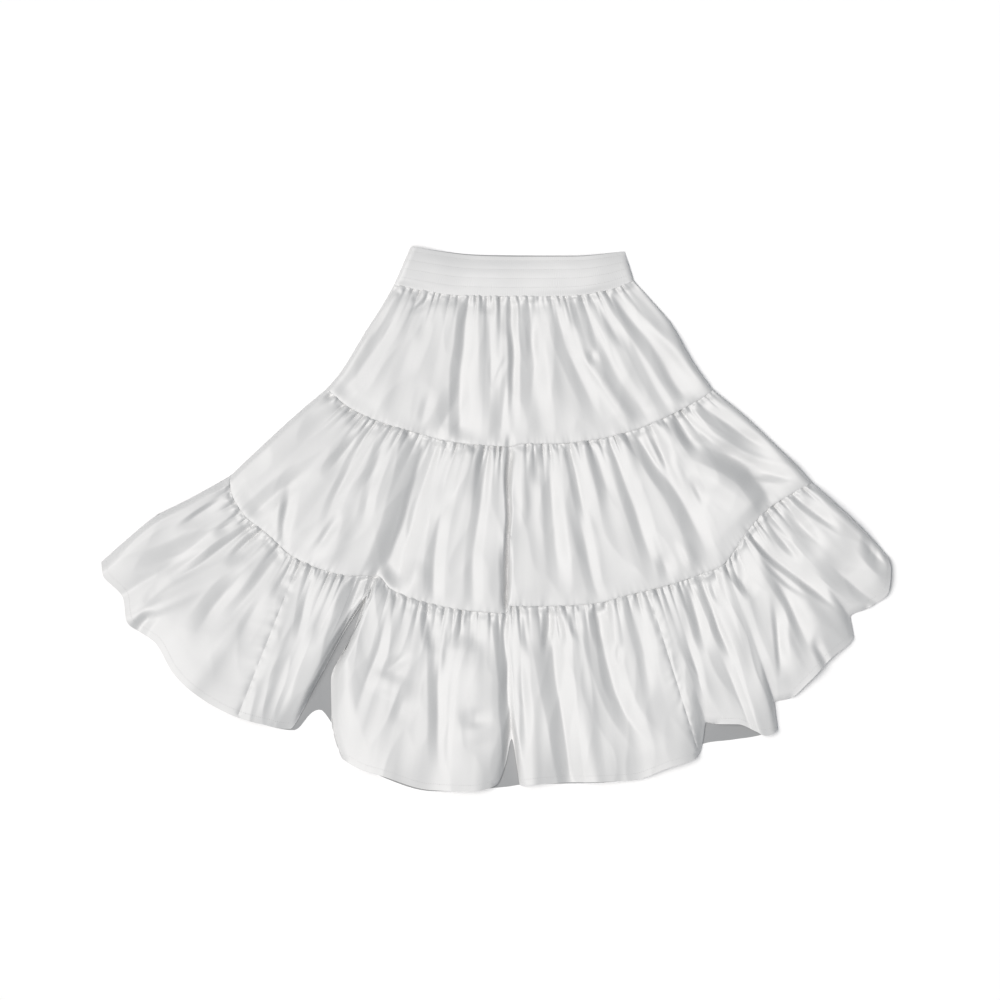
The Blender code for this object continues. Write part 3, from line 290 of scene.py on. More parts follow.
BACK_3_FOLDS = table(
    Fold,
    (0.05, 0.05, 0.04, 0, 0.7, 8, 2), (0.12, 0.12, 0.11, 0, 0.8, 12, 2.3),
    (0.2, 0.2, 0.19, 0, 0.55, 7, 1.7), (0.27, 0.28, 0.28, 0, 0.3, 8, 1.5),
    (0.36, 0.36, 0.37, 0.05, 0.85, 14, 2.5), (0.45, 0.45, 0.44, 0, 0.6, 8, 2),
    (0.53, 0.53, 0.53, 0, 0.8, 11, 2.3), (0.61, 0.62, 0.62, 0, 0.55, 7, 1.8),
    (0.69, 0.69, 0.7, 0.05, 0.8, 12, 2.4), (0.77, 0.77, 0.78, 0, 0.6, 8, 1.9),
    (0.85, 0.86, 0.86, 0, 0.75, 10, 2.2), (0.94, 0.94, 0.95, 0, 0.65, 8, 1.9),
)

# For each tier the nubs right at the seam, the puffs below them and a few long creases.
TIER_1_TUCKS = table(
    Tucks,
    (70, 1.2, 2.4, -1.6, 0.9, 5, 12, 101), (30, 2, 3.6, -2, 1.7, 10, 30, 102),
    (12, 4, 7, -1.4, 1.2, 50, 140, 103),
)
TIER_2_TUCKS = table(
    Tucks,
    (120, 1.3, 2.6, -1.8, 1, 5, 13, 201), (52, 2.2, 4.2, -2.2, 2, 11, 32, 202),
    (15, 4.5, 8, -1.3, 1.2, 45, 130, 203),
)
TIER_3_TUCKS = table(
    Tucks,
    (190, 1.4, 2.8, -2, 1.1, 5, 14, 301), (80, 2.4, 4.6, -2.4, 2.2, 12, 34, 302),
    (18, 5, 9, -1.3, 1.2, 50, 130, 303),
)
GATHER_UNEVEN = 0.55  # how far a gather's width strays from the mean, as a share of it
GATHER_HEIGHTS = (0.25, 1.45)  # range of a gather's height, as a share of the crest
GATHER_REST = 0.03  # what is left of it far below the seam
GATHER_ROUND = 0.85  # how round its crest is; 1 would be a sine
GATHER_START = 0.55  # its height right at the seam, as a share of the full one
GATHER_RISE = 7.0  # distance over which it comes to that
TUCK_HEIGHT = (0.35, 1)  # range of a tuck's height, as a share of the deepest or highest
TUCK_SLANT = 0.08  # sideways for each millimetre down, at most
TUCK_START = (0.3, 0.9)  # range of its height right at the seam, as a share of the full one
TUCK_RISE = 0.2  # share of its length over which it comes to that
TUCK_FADE = 0.7  # and over which it dies out
TUCK_CURVE = 1.5
TUCK_SPREAD = 0.8  # how much wider it is at its lower end
TUCK_REACH = 4  # widths past which it is too faint to count
SLIT_REACH = 8.0  # distance from a slit over which the small creases come back

WANDER = Swell(2.2, 60, 1, 1)  # how far a fold strays from its line
BILLOW = Swell(1.6, 48, 0.55, 3)
DRAG = Swell(0.45, 17, 0.14, 4)  # soft streaks that run down from the gathers
DRAG_AT_FOOT = 0.3  # their height at the tier's lower edge, as a share of that
CRUMPLE = Swell(1.4, 36, 0.4, 5)  # faint creases between them
NICKS = Swell(0.8, 5, 1, 60)  # drawn by the stitches into the edge above a seam

BAND = Tier(WAIST_TOP, WAIST_SEAM, NO_BOW, True, [], [], None, [], (), 5)
TIER_1 = Tier(
    WAIST_SEAM, TIER_1_SEAM, TIER_1_BOW, True, TIER_1_LOFT, TIER_1_FOLDS,
    Gathers(30, 3.0, 13, 11), TIER_1_TUCKS, (), 1,
)
TIER_2 = Tier(
    TIER_1_SEAM, TIER_2_SEAM, TIER_2_BOW, True, TIER_2_LOFT, TIER_2_FOLDS,
    Gathers(45, 3.4, 14, 23), TIER_2_TUCKS, (0.488,), 2,
)
TIER_3 = Tier(
    TIER_2_SEAM, FRONT_HEM, TIER_3_BOW, False, TIER_3_LOFT, TIER_3_FOLDS,
    Gathers(70, 3.6, 15, 37), TIER_3_TUCKS, (0.262, 0.276, 0.285, 0.294, 0.486), 3,
)


# ---- curves
def interpolate(places, values, where):
    """Cubic curve through the values that never overshoots them."""
    places, values = np.array(places, float), np.array(values, float)
    steps, slopes = np.diff(places), np.diff(values) / np.diff(places)
    bends = np.zeros(len(places))
    bends[0], bends[-1] = slopes[0], slopes[-1]
    for i in range(1, len(places) - 1):
        before, after = slopes[i - 1], slopes[i]
        if before * after > 0:
            heavy, light = 2 * steps[i] + steps[i - 1], steps[i] + 2 * steps[i - 1]
            bends[i] = (heavy + light) / (heavy / before + light / after)
    i = np.clip(np.searchsorted(places, where, side="right") - 1, 0, len(places) - 2)
    t = (where - places[i]) / steps[i]
    return (
        (2 * t**3 - 3 * t**2 + 1) * values[i]
        + (t**3 - 2 * t**2 + t) * steps[i] * bends[i]
        + (3 * t**2 - 2 * t**3) * values[i + 1]
        + (t**3 - t**2) * steps[i] * bends[i + 1]
    )


def read_off(rows, value, where):
    """A table's value as a smooth curve over its first column."""
    return interpolate([row[0] for row in rows], [getattr(row, value) for row in rows], where)


def along(stations, share):
    """Points of a seam or hem line, as an array of (x, y)."""
    return np.stack([read_off(stations, "x", share), read_off(stations, "y", share)], axis=-1)


def smooth(t):
    t = np.clip(t, 0, 1)
    return t * t * (3 - 2 * t)


def rolled(distance, radius):
    """Height of a folded edge that rolls down to the layer under it, as a share of full height."""
    t = np.clip(distance / radius, 0, 1)
    return np.sqrt(np.clip(1 - (1 - t) ** 2, 0, 1))


def unit(vectors):
    return vectors / np.linalg.norm(vectors, axis=-1, keepdims=True)


def line_length(stations):
    points = along(stations, np.linspace(0, 1, 401))
    return np.linalg.norm(np.diff(points, axis=0), axis=1).sum()


def distance_to_line(points, line):
    """Distance of each point to a polyline, in plan."""
    nearest = np.full(points.shape[:-1], np.inf)
    for start, end in zip(line[:-1], line[1:]):
        run = end - start
        t = np.clip(((points - start) @ run) / (run @ run), 0, 1)
        nearest = np.minimum(nearest, np.linalg.norm(points - start - t[..., None] * run, axis=-1))
    return nearest


SWELL_TILE = 64  # how many swells there are before their pattern repeats
SWELL_START = (17.3, 9.1)  # where in the pattern a panel's corner lies
SWELL_GAIN = 1.8  # brings them to about -1 to 1


def swells(x, y, size, seed):
    """Uneven swells and hollows of about that size over a plane, from about -1 to 1."""
    turns = np.random.default_rng(seed).uniform(0, 2 * math.pi, (SWELL_TILE, SWELL_TILE))
    x, y = x / size + SWELL_START[0], y / size + SWELL_START[1]
    column, row = np.floor(x).astype(int), np.floor(y).astype(int)
    across, down = x - column, y - row
    weights = [t**3 * (t * (6 * t - 15) + 10) for t in (across, down)]
    total = np.zeros_like(x)
    for i in (0, 1):
        for j in (0, 1):
            turn = turns[(column + i) % SWELL_TILE, (row + j) % SWELL_TILE]
            slope = np.cos(turn) * (across - i) + np.sin(turn) * (down - j)
            share = (weights[0] if i else 1 - weights[0]) * (weights[1] if j else 1 - weights[1])
            total += share * slope
    return total * SWELL_GAIN


def uneven(swell, x, y, seed=0):
    return swells(x, y * swell.squeeze, swell.size, swell.seed + seed)


# ---- a panel's plan
def plan_of(panel, share, v):
    """(x, y) of each place on the panel."""
    upper, lower = along(panel.top, share), along(panel.bottom, share)
    rib = unit(lower - upper)
    to_right = np.stack([-rib[:, 1], rib[:, 0]], axis=-1)
    left = read_off(panel.bow, "left", v) * smooth(1 - share / BOW_REACH)
    right = read_off(panel.bow, "right", v) * smooth(1 - (1 - share) / BOW_REACH)
    return upper + (lower - upper) * v[:, None] + to_right * (right - left)[:, None]


def rib_length(panel, share):
    return np.linalg.norm(along(panel.bottom, share) - along(panel.top, share), axis=-1)


def mean_length(panel):
    return rib_length(panel, FEW_SHARES).mean()


def row_length(panel, v):
    """Length of the panel across at v."""
    return line_length(panel.top) * (1 - v) + line_length(panel.bottom) * v


def grid_columns(panel, ends=(0.0, 1.0), top_step=TOP_STEP, bottom_step=BOTTOM_STEP):
    """Shares of the columns, close enough together along both edges and closer near a rolled side."""
    fine = np.linspace(ends[0], ends[1], 4001)
    steps = [
        np.linalg.norm(np.diff(along(line, fine), axis=0), axis=1) / step
        for line, step in ((panel.top, top_step), (panel.bottom, bottom_step))
    ]
    reach = np.concatenate([[0], np.cumsum(np.maximum(*steps))])
    shares = np.interp(np.linspace(0, reach[-1], math.ceil(reach[-1]) + 1), reach, fine)
    near = np.array(NEAR_SIDE) / line_length(panel.top)
    if ends[0] == 0:
        shares = np.concatenate([[0], near, shares[shares > near[-1] * SIDE_GAP]])
    if ends[1] == 1:
        shares = np.concatenate([shares[shares < 1 - near[-1] * SIDE_GAP], 1 - near[::-1], [1]])
    return shares


def grid_rows(length, step=ROW_STEP, near=NEAR_EDGE):
    """v of the rows, closer together near both edges."""
    near = np.array(near)
    inner = np.linspace(near[-1], length - near[-1], math.ceil((length - 2 * near[-1]) / step) + 1)
    return np.concatenate([[0], near[:-1], inner, length - near[-2::-1], [length]]) / length


def grid_places(columns, rows_down):
    """share and v of every point of the grid."""
    return (places.ravel() for places in np.meshgrid(columns, rows_down))


# ---- a panel's heights
def fold_heights(folds, share, v, span):
    """Sum of the ridges and troughs; span is the row's length across, mm for a share of 1."""
    total = np.zeros_like(share)
    for fold in folds:
        length = fold.end_v - fold.start_v
        t = np.clip((v - fold.start_v) / length, 0, 1)
        centre = (
            fold.start * (1 - t) * (1 - 2 * t) + fold.middle * 4 * t * (1 - t) + fold.end * t * (2 * t - 1)
        )
        across = (share - centre) * span
        right = fold.width / fold.lean
        if fold.lean > 1:
            right = max(right, abs(fold.height) / STEEPEST)
        flank = np.where(across < 0, fold.width * fold.lean, right)
        fade = np.ones_like(v)
        if fold.start_v > 0:
            fade = fade * smooth((v - fold.start_v) / (FOLD_TAPER * length))
        if fold.end_v < 1:
            fade = fade * smooth((fold.end_v - v) / (FOLD_TAPER * length))
        away = (np.hypot(across, BOTTOM_ROUND) - BOTTOM_ROUND) / flank
        if fold.height > 0:
            total += FOLD_DEPTH * fold.height * fade * np.exp(-(away**RIDGE_CURVE))
        else:
            total += FOLD_DEPTH * fold.height * fade * np.clip(1 - away, 0, 1) ** TROUGH_CURVE
    return total


def gather_heights(gathers, share, depth):
    """Round crests with narrow troughs between them, which die out away from the seam above."""
    draw = random.Random(gathers.seed)
    widths = [1 + GATHER_UNEVEN * draw.uniform(-1, 1) for _ in range(2 * gathers.count)]
    places = np.concatenate([[0], np.cumsum(widths)]) / sum(widths)
    draw = random.Random(gathers.seed + 1)
    sizes = np.array([draw.uniform(*GATHER_HEIGHTS) * (-1) ** i for i in range(len(places))])
    i = np.clip(np.searchsorted(places, share, side="right") - 1, 0, len(places) - 2)
    t = (share - places[i]) / (places[i + 1] - places[i])
    from_trough = np.where(sizes[i] < sizes[i + 1], t, 1 - t)
    rise = np.sin(math.pi / 2 * np.clip(from_trough, 0, 1)) ** GATHER_ROUND
    low, high = np.minimum(sizes[i], sizes[i + 1]), np.maximum(sizes[i], sizes[i + 1])
    height = GATHER_REST + (gathers.crest - GATHER_REST) * np.exp(-depth / gathers.reach)
    start = GATHER_START + (1 - GATHER_START) * smooth(depth / GATHER_RISE)
    return (low + (high - low) * rise) * height * start


def tuck_heights(tucks, share, depth, span):
    """Small creases, each with its own place, width, height, length and slant."""
    draw = random.Random(tucks.seed)
    total = np.zeros_like(share)
    for i in range(tucks.count):
        place = (i + draw.uniform(0.1, 0.9)) / tucks.count
        width = draw.uniform(tucks.narrowest, tucks.widest)
        height = draw.choice((tucks.deepest, tucks.deepest, tucks.highest)) * draw.uniform(*TUCK_HEIGHT)
        length = tucks.shortest * (tucks.longest / tucks.shortest) ** draw.uniform(0, 1)
        slant, start = draw.uniform(-TUCK_SLANT, TUCK_SLANT), draw.uniform(*TUCK_START)
        t = depth / length
        across = (share - place) * span - slant * depth
        near = np.flatnonzero((np.abs(across) < TUCK_REACH * width * (1 + TUCK_SPREAD)) & (t < 1))
        w = width * (1 + TUCK_SPREAD * t[near])
        along_it = (start + (1 - start) * smooth(t[near] / TUCK_RISE)) * smooth((1 - t[near]) / TUCK_FADE)
        total[near] += height * along_it * np.exp(-(np.abs(across[near] / w) ** TUCK_CURVE))
    return total


def beside_slits(tier, share, span):
    """How much of the small creases there is, as the cloth is drawn smooth along a deep slit."""
    left = np.ones_like(share)
    for place in tier.slits:
        left = left * (1 - np.exp(-(((share - place) * span / SLIT_REACH) ** 2)))
    return left


def above_back(height):
    """Keeps a height above the back layer, with a soft bend where it would go below."""
    return np.logaddexp(0, height / SOFTNESS) * SOFTNESS


def broad_heights(tier, share, v):
    """The tier's loft, long folds and swells, before its gathers, edges and seams."""
    across, length, span = line_length(tier.top), mean_length(tier), row_length(tier, v)
    height = read_off(tier.loft, "height", v)
    hold = smooth(v * length / GATHER_HOLD)
    if tier.seam_below:
        hold = hold * smooth((1 - v) * length / SEAM_HOLD)
    else:
        lobe = read_off(HEM_LOBES, "height", share)
        height = height + smooth((v - LOBE_START) / (1 - LOBE_START)) * (lobe - tier.loft[-1].height)
    place = (share * (across + line_length(tier.bottom)) / 2, v * length, tier.seed * 7)
    wander = WANDER.height * uneven(WANDER, *place) * hold
    for deep, kept in ((False, SEAM_FOLDS), (True, DEEP_SEAM_FOLDS)):
        folds = [fold for fold in tier.folds if (abs(fold.height) >= DEEP_FOLD) == deep]
        height = height + (kept + (1 - kept) * hold) * fold_heights(folds, share + wander / span, v, span)
    height = height + hold * BILLOW.height * uneven(BILLOW, *place)
    drag = DRAG.height * (1 - (1 - DRAG_AT_FOOT) * v)
    height = height + hold * drag * uneven(DRAG, *place)
    return height - hold * CRUMPLE.height * np.abs(uneven(CRUMPLE, *place))


def front_heights(tier, share, v):
    """Height of a tier's front above the back layer, before its edges and seams."""
    depth, span = v * rib_length(tier, share), row_length(tier, v)
    fine = gather_heights(tier.gathers, share, depth)
    for tucks in tier.tucks:
        fine += tuck_heights(tucks, share, depth, span)
    return above_back(broad_heights(tier, share, v) + fine * beside_slits(tier, share, span))


def edge_heights(tier, v):
    """The same along a whole edge, without the gathers."""
    return above_back(broad_heights(tier, SEAM_SHARES, v))


# Heights of the three seams. Those of two tiers are the mean of what both tiers come to there.
TOP, BOTTOM = np.zeros_like(SEAM_SHARES), np.ones_like(SEAM_SHARES)
WAIST_SEAM_HEIGHT = np.full_like(SEAM_SHARES, 3.6)
TIER_1_SEAM_HEIGHT = (edge_heights(TIER_1, BOTTOM) + edge_heights(TIER_2, TOP)) / 2
TIER_2_SEAM_HEIGHT = (edge_heights(TIER_2, BOTTOM) + edge_heights(TIER_3, TOP)) / 2


def to_seam(height, own, seam_height, share, distance, ditch, blend=SEAM_BLEND):
    """Brings a panel to its seam's height, and dips it into the ditch along the seam."""
    change = np.interp(share, SEAM_SHARES, seam_height - own)
    height = height + change * np.exp(-((distance / blend) ** 2))
    return height - ditch * np.exp(-distance / DITCH_WIDTH)


def edge_distances(panel, plan):
    """Distance in plan of each point to the panel's sides, and to the folded stretches of its hem."""
    v = np.linspace(0, 1, 17)
    sides = [distance_to_line(plan, plan_of(panel, np.full_like(v, side), v)) for side in (0, 1)]
    folded = np.full(len(plan), np.inf)
    if not panel.seam_below:
        for ends in FOLDED_HEM:
            folded = np.minimum(folded, distance_to_line(plan, along(panel.bottom, np.linspace(*ends, 25))))
    return np.minimum(*sides), folded


def settle(height, sides, folded, radius):
    """z of the cloth's outside: rolled down at its folded edges and lowest at the sides."""
    height = height * rolled(np.minimum(sides, folded), radius)
    return FRONT_REST + height - SIDE_DROP * (1 - rolled(sides, SIDE_REACH))


def seam_nicks(share, distance, length, seed):
    """Nicks that the stitches below draw into the smooth edge of a seam."""
    lift = uneven(NICKS, share * length, np.zeros_like(share), seed)
    return NICKS.height * lift * np.exp(-distance / NICKS.size)


# The two seams across the bottom tier: the ditch that their stitches pinch, and the puckers beside it.
PINCH = 1.9
PINCH_WIDTH = 3.6
PINCH_LEAST = 0.6
PINCH_CHANGE = Swell(0.8, 11, 500, 72)
PINCH_START = 30.0  # distance below the seam above over which it comes in
PUCKERS = Swell(1.3, 10, 1, 71)
PUCKER_REACH = 7.0
PUCKER_CLEAR = 2.0  # distance from the stitches at which they start
PUCKER_SLANT = 0.5
PUCKER_STRETCH = 0.4


def panel_seams(tier, height, share, v, rib):
    """The two seams across the bottom tier, pinched in and puckered along their stitches."""
    if tier.seam_below:
        return height
    for seam in (LEFT_PANEL_SEAM, RIGHT_PANEL_SEAM):
        across, down = (share - seam) * row_length(tier, v), v * rib
        beside = np.abs(across)
        change = PINCH_CHANGE.height * uneven(PINCH_CHANGE, down, np.full_like(down, seam))
        pinch = (PINCH_LEAST + change) * smooth(down / PINCH_START)
        height = height - PINCH * pinch * np.exp(-((beside / PINCH_WIDTH) ** 1.3))
        pucker = uneven(PUCKERS, down + PUCKER_SLANT * across, across * PUCKER_STRETCH + 900 * seam)
        beyond = 1 - np.exp(-beside / PUCKER_CLEAR)
        height = height + PUCKERS.height * pucker * np.exp(-beside / PUCKER_REACH) * beyond
    return height


def front_surface(tier, above, below, share, v):
    """Points of a gathered panel's outside. above and below are the heights of its seams."""
    plan, rib = plan_of(tier, share, v), rib_length(tier, share)
    ditch = WAIST_DITCH if tier is TIER_1 else SEAM_DITCH
    height = to_seam(front_heights(tier, share, v), edge_heights(tier, TOP), above, share, v * rib, ditch)
    if tier.seam_below:
        up = (1 - v) * rib
        height = to_seam(height, edge_heights(tier, BOTTOM), below, share, up, EDGE_DITCH)
        height += seam_nicks(share, up, line_length(tier.bottom), tier.seed)
    height = panel_seams(tier, height, share, v, rib)
    return np.column_stack([plan, settle(height, *edge_distances(tier, plan), FOLD_RADIUS)])


# ---- the waistband's heights
BAND_LOFT = 5.0
BAND_EDGE = 0.2  # the band's loft at its top edge, as a share of that
BAND_CREST = 0.55  # v at which the band comes to its full loft
BAND_WAVES = 4.5  # swells between the rows of stitching that hold the elastic
BAND_CHANNEL = 0.22  # depth of those rows at the middle of the band
BAND_CHANNEL_ENDS = 0.3  # and at its ends, as a share of that
BAND_SWAY_FALL = 0.6  # how much less the band's sway is at its lower edge
BAND_LENGTH = 330.0  # of its cloth, along which the patterns run
BAND_WIDTH = 56.0
BAND_BILLOW = Swell(0.9, 45, 40, 58)
BAND_PUCKER = 0.15  # height of the fine puckers that the elastic draws up
BAND_PUCKERS = 118
PUCKER_WANDER = Swell(3.0, 22, 120, 55)  # how they stray along the band
PUCKER_STEP = Swell(1.5, 14, 50, 56)  # and from one row to the next
PUCKER_CHANGE = Swell(0.5, 16, 90, 57)  # how their height varies
PUCKER_LEAST = 0.65
PUCKER_AT_ROWS = 0.35  # their height at the rows of stitching, as a share


def band_heights(share, v):
    """Height of the waistband's front above its back."""
    rise = np.sin(math.pi / 2 * np.clip(v / BAND_CREST, 0, 1))
    height = BAND_LOFT * (BAND_EDGE + (1 - BAND_EDGE) * rise)
    middle = BAND_CHANNEL_ENDS + (1 - BAND_CHANNEL_ENDS) * np.sin(math.pi * np.clip(share, 0, 1))
    height -= BAND_CHANNEL * middle * ((1 - np.cos(2 * math.pi * BAND_WAVES * v)) / 2) ** 2
    return height + read_off(BAND_SWAY, "height", share) * (1 - BAND_SWAY_FALL * v)


def band_puckers(share, v):
    """Fine upright puckers, uneven, and out of step from one row of stitching to the next."""
    x, row = share * BAND_LENGTH, np.floor(v * BAND_WAVES + 0.5)
    wander = PUCKER_WANDER.height * uneven(PUCKER_WANDER, x, v)
    wander = wander + PUCKER_STEP.height * uneven(PUCKER_STEP, x, row)
    wave = np.sin(2 * math.pi * BAND_PUCKERS * share + wander)
    strength = PUCKER_LEAST + PUCKER_CHANGE.height * uneven(PUCKER_CHANGE, x, v)
    between = PUCKER_AT_ROWS + (1 - PUCKER_AT_ROWS) * np.abs(np.cos(math.pi * BAND_WAVES * v))
    return BAND_PUCKER * wave * strength * between


def band_surface(share, v):
    """Points of the outside of the waistband's front."""
    plan, own = plan_of(BAND, share, v), band_heights(SEAM_SHARES, BOTTOM)
    up = (1 - v) * rib_length(BAND, share)
    height = to_seam(
        band_heights(share, v), own, WAIST_SEAM_HEIGHT, share, up, WAIST_DITCH, BAND_SEAM_BLEND
    )
    height = height + band_puckers(share, v)
    billow = BAND_BILLOW.height * uneven(BAND_BILLOW, share * BAND_LENGTH, v)
    height = height + billow * np.sin(math.pi * v)
    return np.column_stack([plan, settle(height, *edge_distances(BAND, plan), BAND_FOLD_RADIUS)])


# ---- meshes
def new_object(name, data):
    obj = bpy.data.objects.new(name, data)
    bpy.context.scene.collection.objects.link(obj)
    return obj


def set_up(thing, **settings):
    for setting, value in settings.items():
        setattr(thing, setting, value)
    return thing


def sheet_object(node, points, size, faces_up=True):
    """The satin of a node, from rows of points in mm. Its UV map is in metres of cloth."""
    down_count, across_count = points.shape[:2]
    first = (np.arange(down_count - 1)[:, None] * across_count + np.arange(across_count - 1)).ravel()
    quads = np.stack([first, first + across_count, first + across_count + 1, first + 1], axis=1)
    if not faces_up:
        quads = quads[:, ::-1]
    mesh = bpy.data.meshes.new(node + "_satin")
    mesh.from_pydata((points.reshape(-1, 3) * MM).tolist(), [], quads.tolist())
    across, down = grid_places(
        size[0] * np.linspace(0, 1, across_count), size[1] * np.linspace(0, 1, down_count)
    )
    cloth = np.stack([across, down], axis=1) * MM
    mesh.uv_layers.new(name="cloth").uv.foreach_set("vector", cloth[quads.ravel()].ravel())
    return new_object(mesh.name, mesh)


def select_only(obj):
    for other in bpy.context.selected_objects:
        other.select_set(False)
    obj.select_set(True)
    bpy.context.view_layer.objects.active = obj


def modify(obj, kind, **settings):
    """Adds a modifier with these settings and applies it."""
    select_only(obj)
    modifier = set_up(obj.modifiers.new(kind, kind), **settings)
    bpy.ops.object.modifier_apply(modifier=modifier.name)


def thicken(obj, outside, inside):
    """Gives a sheet its thickness inwards, with a lining side of its own finish."""
    obj.data.materials.append(outside)
    obj.data.materials.append(inside)
    modify(obj, "SOLIDIFY", thickness=CLOTH * MM, offset=-1, material_offset=1)
    bpy.ops.object.shade_smooth_by_angle(angle=math.radians(SHARP_EDGE))
    return obj


def turned_down(points):
    """The sheet with its lower edge turned down to the gathers, as a seam allowance pulls it."""
    lip = points[-1:] + (0, LIP_INSET, 0)
    lip[..., 2] = np.maximum(lip[..., 2] - LIP_DEPTH, LIP_LOWEST)
    return np.concatenate([points, lip])


def front_sheet(node, tier, above, below, ends=(0.0, 1.0)):
    """A gathered panel of the front."""
    columns, rows = grid_columns(tier, ends), grid_rows(mean_length(tier))
    share, v = grid_places(columns, rows)
    points = front_surface(tier, above, below, share, v).reshape(len(rows), len(columns), 3)
    points[0, :, 1] += TUCK
    points[0, :, 2] -= TUCK_DROP
    if tier.seam_below:
        points = turned_down(points)
    width = (line_length(tier.top) + line_length(tier.bottom)) / 2 * (ends[1] - ends[0])
    return sheet_object(node, points, (width, rib_length(tier, share).mean()))


def band_sheet(node):
    """The waistband's front: elastic sewn through in rows, which draws the cloth up in fine puckers."""
    columns = grid_columns(BAND, top_step=BAND_STEP, bottom_step=BAND_STEP)
    rows = grid_rows(mean_length(BAND), BAND_ROW_STEP, BAND_NEAR_EDGE)
    share, v = grid_places(columns, rows)
    points = turned_down(band_surface(share, v).reshape(len(rows), len(columns), 3))
    return sheet_object(node, points, (line_length(WAIST_SEAM), BAND_WIDTH))


BACK_INSET = 1.2  # how far the back stops short of the rolled sides
BACK_INSET_REACH = 10.0
BACK_GATHER = 0.35  # height of its gathers, as a share of the front's
BACK_SINK = 0.35  # presses its lowest relief flat on the floor
BACK_SWELL = Swell(0.4, 25, 100, 80)
BACK_SOFTNESS = 0.15
BACK_HIGHEST = 2.2
BACK_LOW = 0.15  # what is left of its relief where the front rolls down to it, as a share
BACK_SIDE = (12.0, 30.0)  # distance from a side at which the relief starts, and over which it grows
BACK_HEM_EDGE = (14.0, 45.0)  # and from the hem
BACK_SEAM_LOW = 0.3  # what is left of it at the seam above, as a share
BACK_SEAM_REACH = 25.0


def back_relief(panel, tier, folds, share, v, rib):
    """Height of the back's creases above the floor, low wherever the front lies close on it."""
    span = row_length(panel, v)
    relief = fold_heights(folds, share, v, span)
    if tier.gathers:
        relief = relief + BACK_GATHER * gather_heights(tier.gathers, 1 - share, v * rib)
    relief = relief - BACK_SINK + BACK_SWELL.height * uneven(BACK_SWELL, share * span, v, tier.seed)
    relief = np.logaddexp(0, relief / BACK_SOFTNESS) * BACK_SOFTNESS
    side = np.minimum(share, 1 - share) * span
    inner = smooth((side - BACK_SIDE[0]) / BACK_SIDE[1])
    inner = inner * (BACK_SEAM_LOW + (1 - BACK_SEAM_LOW) * smooth(v * rib / BACK_SEAM_REACH))
    if not tier.seam_below:
        inner = inner * smooth(((1 - v) * rib - BACK_HEM_EDGE[0]) / BACK_HEM_EDGE[1])
    inset = BACK_INSET * np.where(share < 0.5, 1, -1) * smooth(1 - side / BACK_INSET_REACH)
    return inset, np.minimum(relief * (BACK_LOW + (1 - BACK_LOW) * inner), BACK_HIGHEST)


def back_sheet(node, tier, folds, top=None):
    """A panel of the back, flat on the floor, with the creases that lying on it has pressed in."""
    panel = tier._replace(top=top or tier.top)
    if not tier.seam_below:
        panel = panel._replace(bottom=BACK_HEM)
    columns = grid_columns(panel, (0.0, 1.0), *BACK_STEPS)
    rows = grid_rows(mean_length(panel), BACK_ROW_STEP, BACK_NEAR_EDGE)
    share, v = grid_places(columns, rows)
    plan, rib = plan_of(panel, share, v), rib_length(panel, share)
    inset, relief = back_relief(panel, tier, folds, share, v, rib)
    points = np.column_stack([plan[:, 0] + inset, plan[:, 1], relief]).reshape(len(rows), len(columns), 3)
    return sheet_object(node, points, (line_length(panel.bottom), rib.mean()), faces_up=False)


# ---- stitches
STITCH = 2.6  # length of a stitch of the sewing thread
STITCH_STEP = 3.1  # from one to the next
THREAD_RADIUS = 0.24
THREAD_FLAT = 1.15  # its width, as a share of its height
STITCH_SINK = 0.3  # how far its ends go down into the cloth
STITCH_DIVE = 2.5  # how late they turn down; 1 would be straight
STITCH_LIFT = 0.08  # of the thread's middle line above the cloth's surface
BAND_ROW_ENDS = (0.02, 0.98)  # share at which a row of stitching starts and ends
BAND_ROW_POINTS = 240
BAND_ROWS = tuple((row + 0.5) / BAND_WAVES for row in range(4))  # v of the waistband's rows
HEM_ALLOWANCE = 9.0  # height of the hem's row of stitching above its edge
HEM_ROW_ENDS = (0.01, 0.99)
HEM_ROW_GAP = 0.004  # share by which a row stops short of a folded stretch
HEM_ROW_SHORTEST = 0.01
HEM_ROW_POINTS = 1200  # for a share of 1


def one_stitch():
    """One stitch, fullest at its middle, whose ends go down into the cloth."""
    bpy.ops.object.select_all(action="DESELECT")
    bpy.ops.mesh.primitive_uv_sphere_add(segments=6, ring_count=6, radius=THREAD_RADIUS * MM)
    stitch = bpy.context.object
    stitch.name = "stitch"
    bpy.ops.object.mode_set(mode="EDIT")
    bpy.ops.mesh.select_all(action="SELECT")
    bpy.ops.transform.rotate(value=math.pi / 2, orient_axis="Y")
    bpy.ops.transform.resize(value=(STITCH / 2 / THREAD_RADIUS, 1, 1))
    bpy.ops.object.mode_set(mode="OBJECT")
    for vertex in stitch.data.vertices:
        out = abs(vertex.co.x) / (STITCH / 2 * MM)
        vertex.co.z -= STITCH_SINK * MM * out**STITCH_DIVE
        vertex.co.y *= THREAD_FLAT
    bpy.ops.object.shade_smooth()
    return stitch


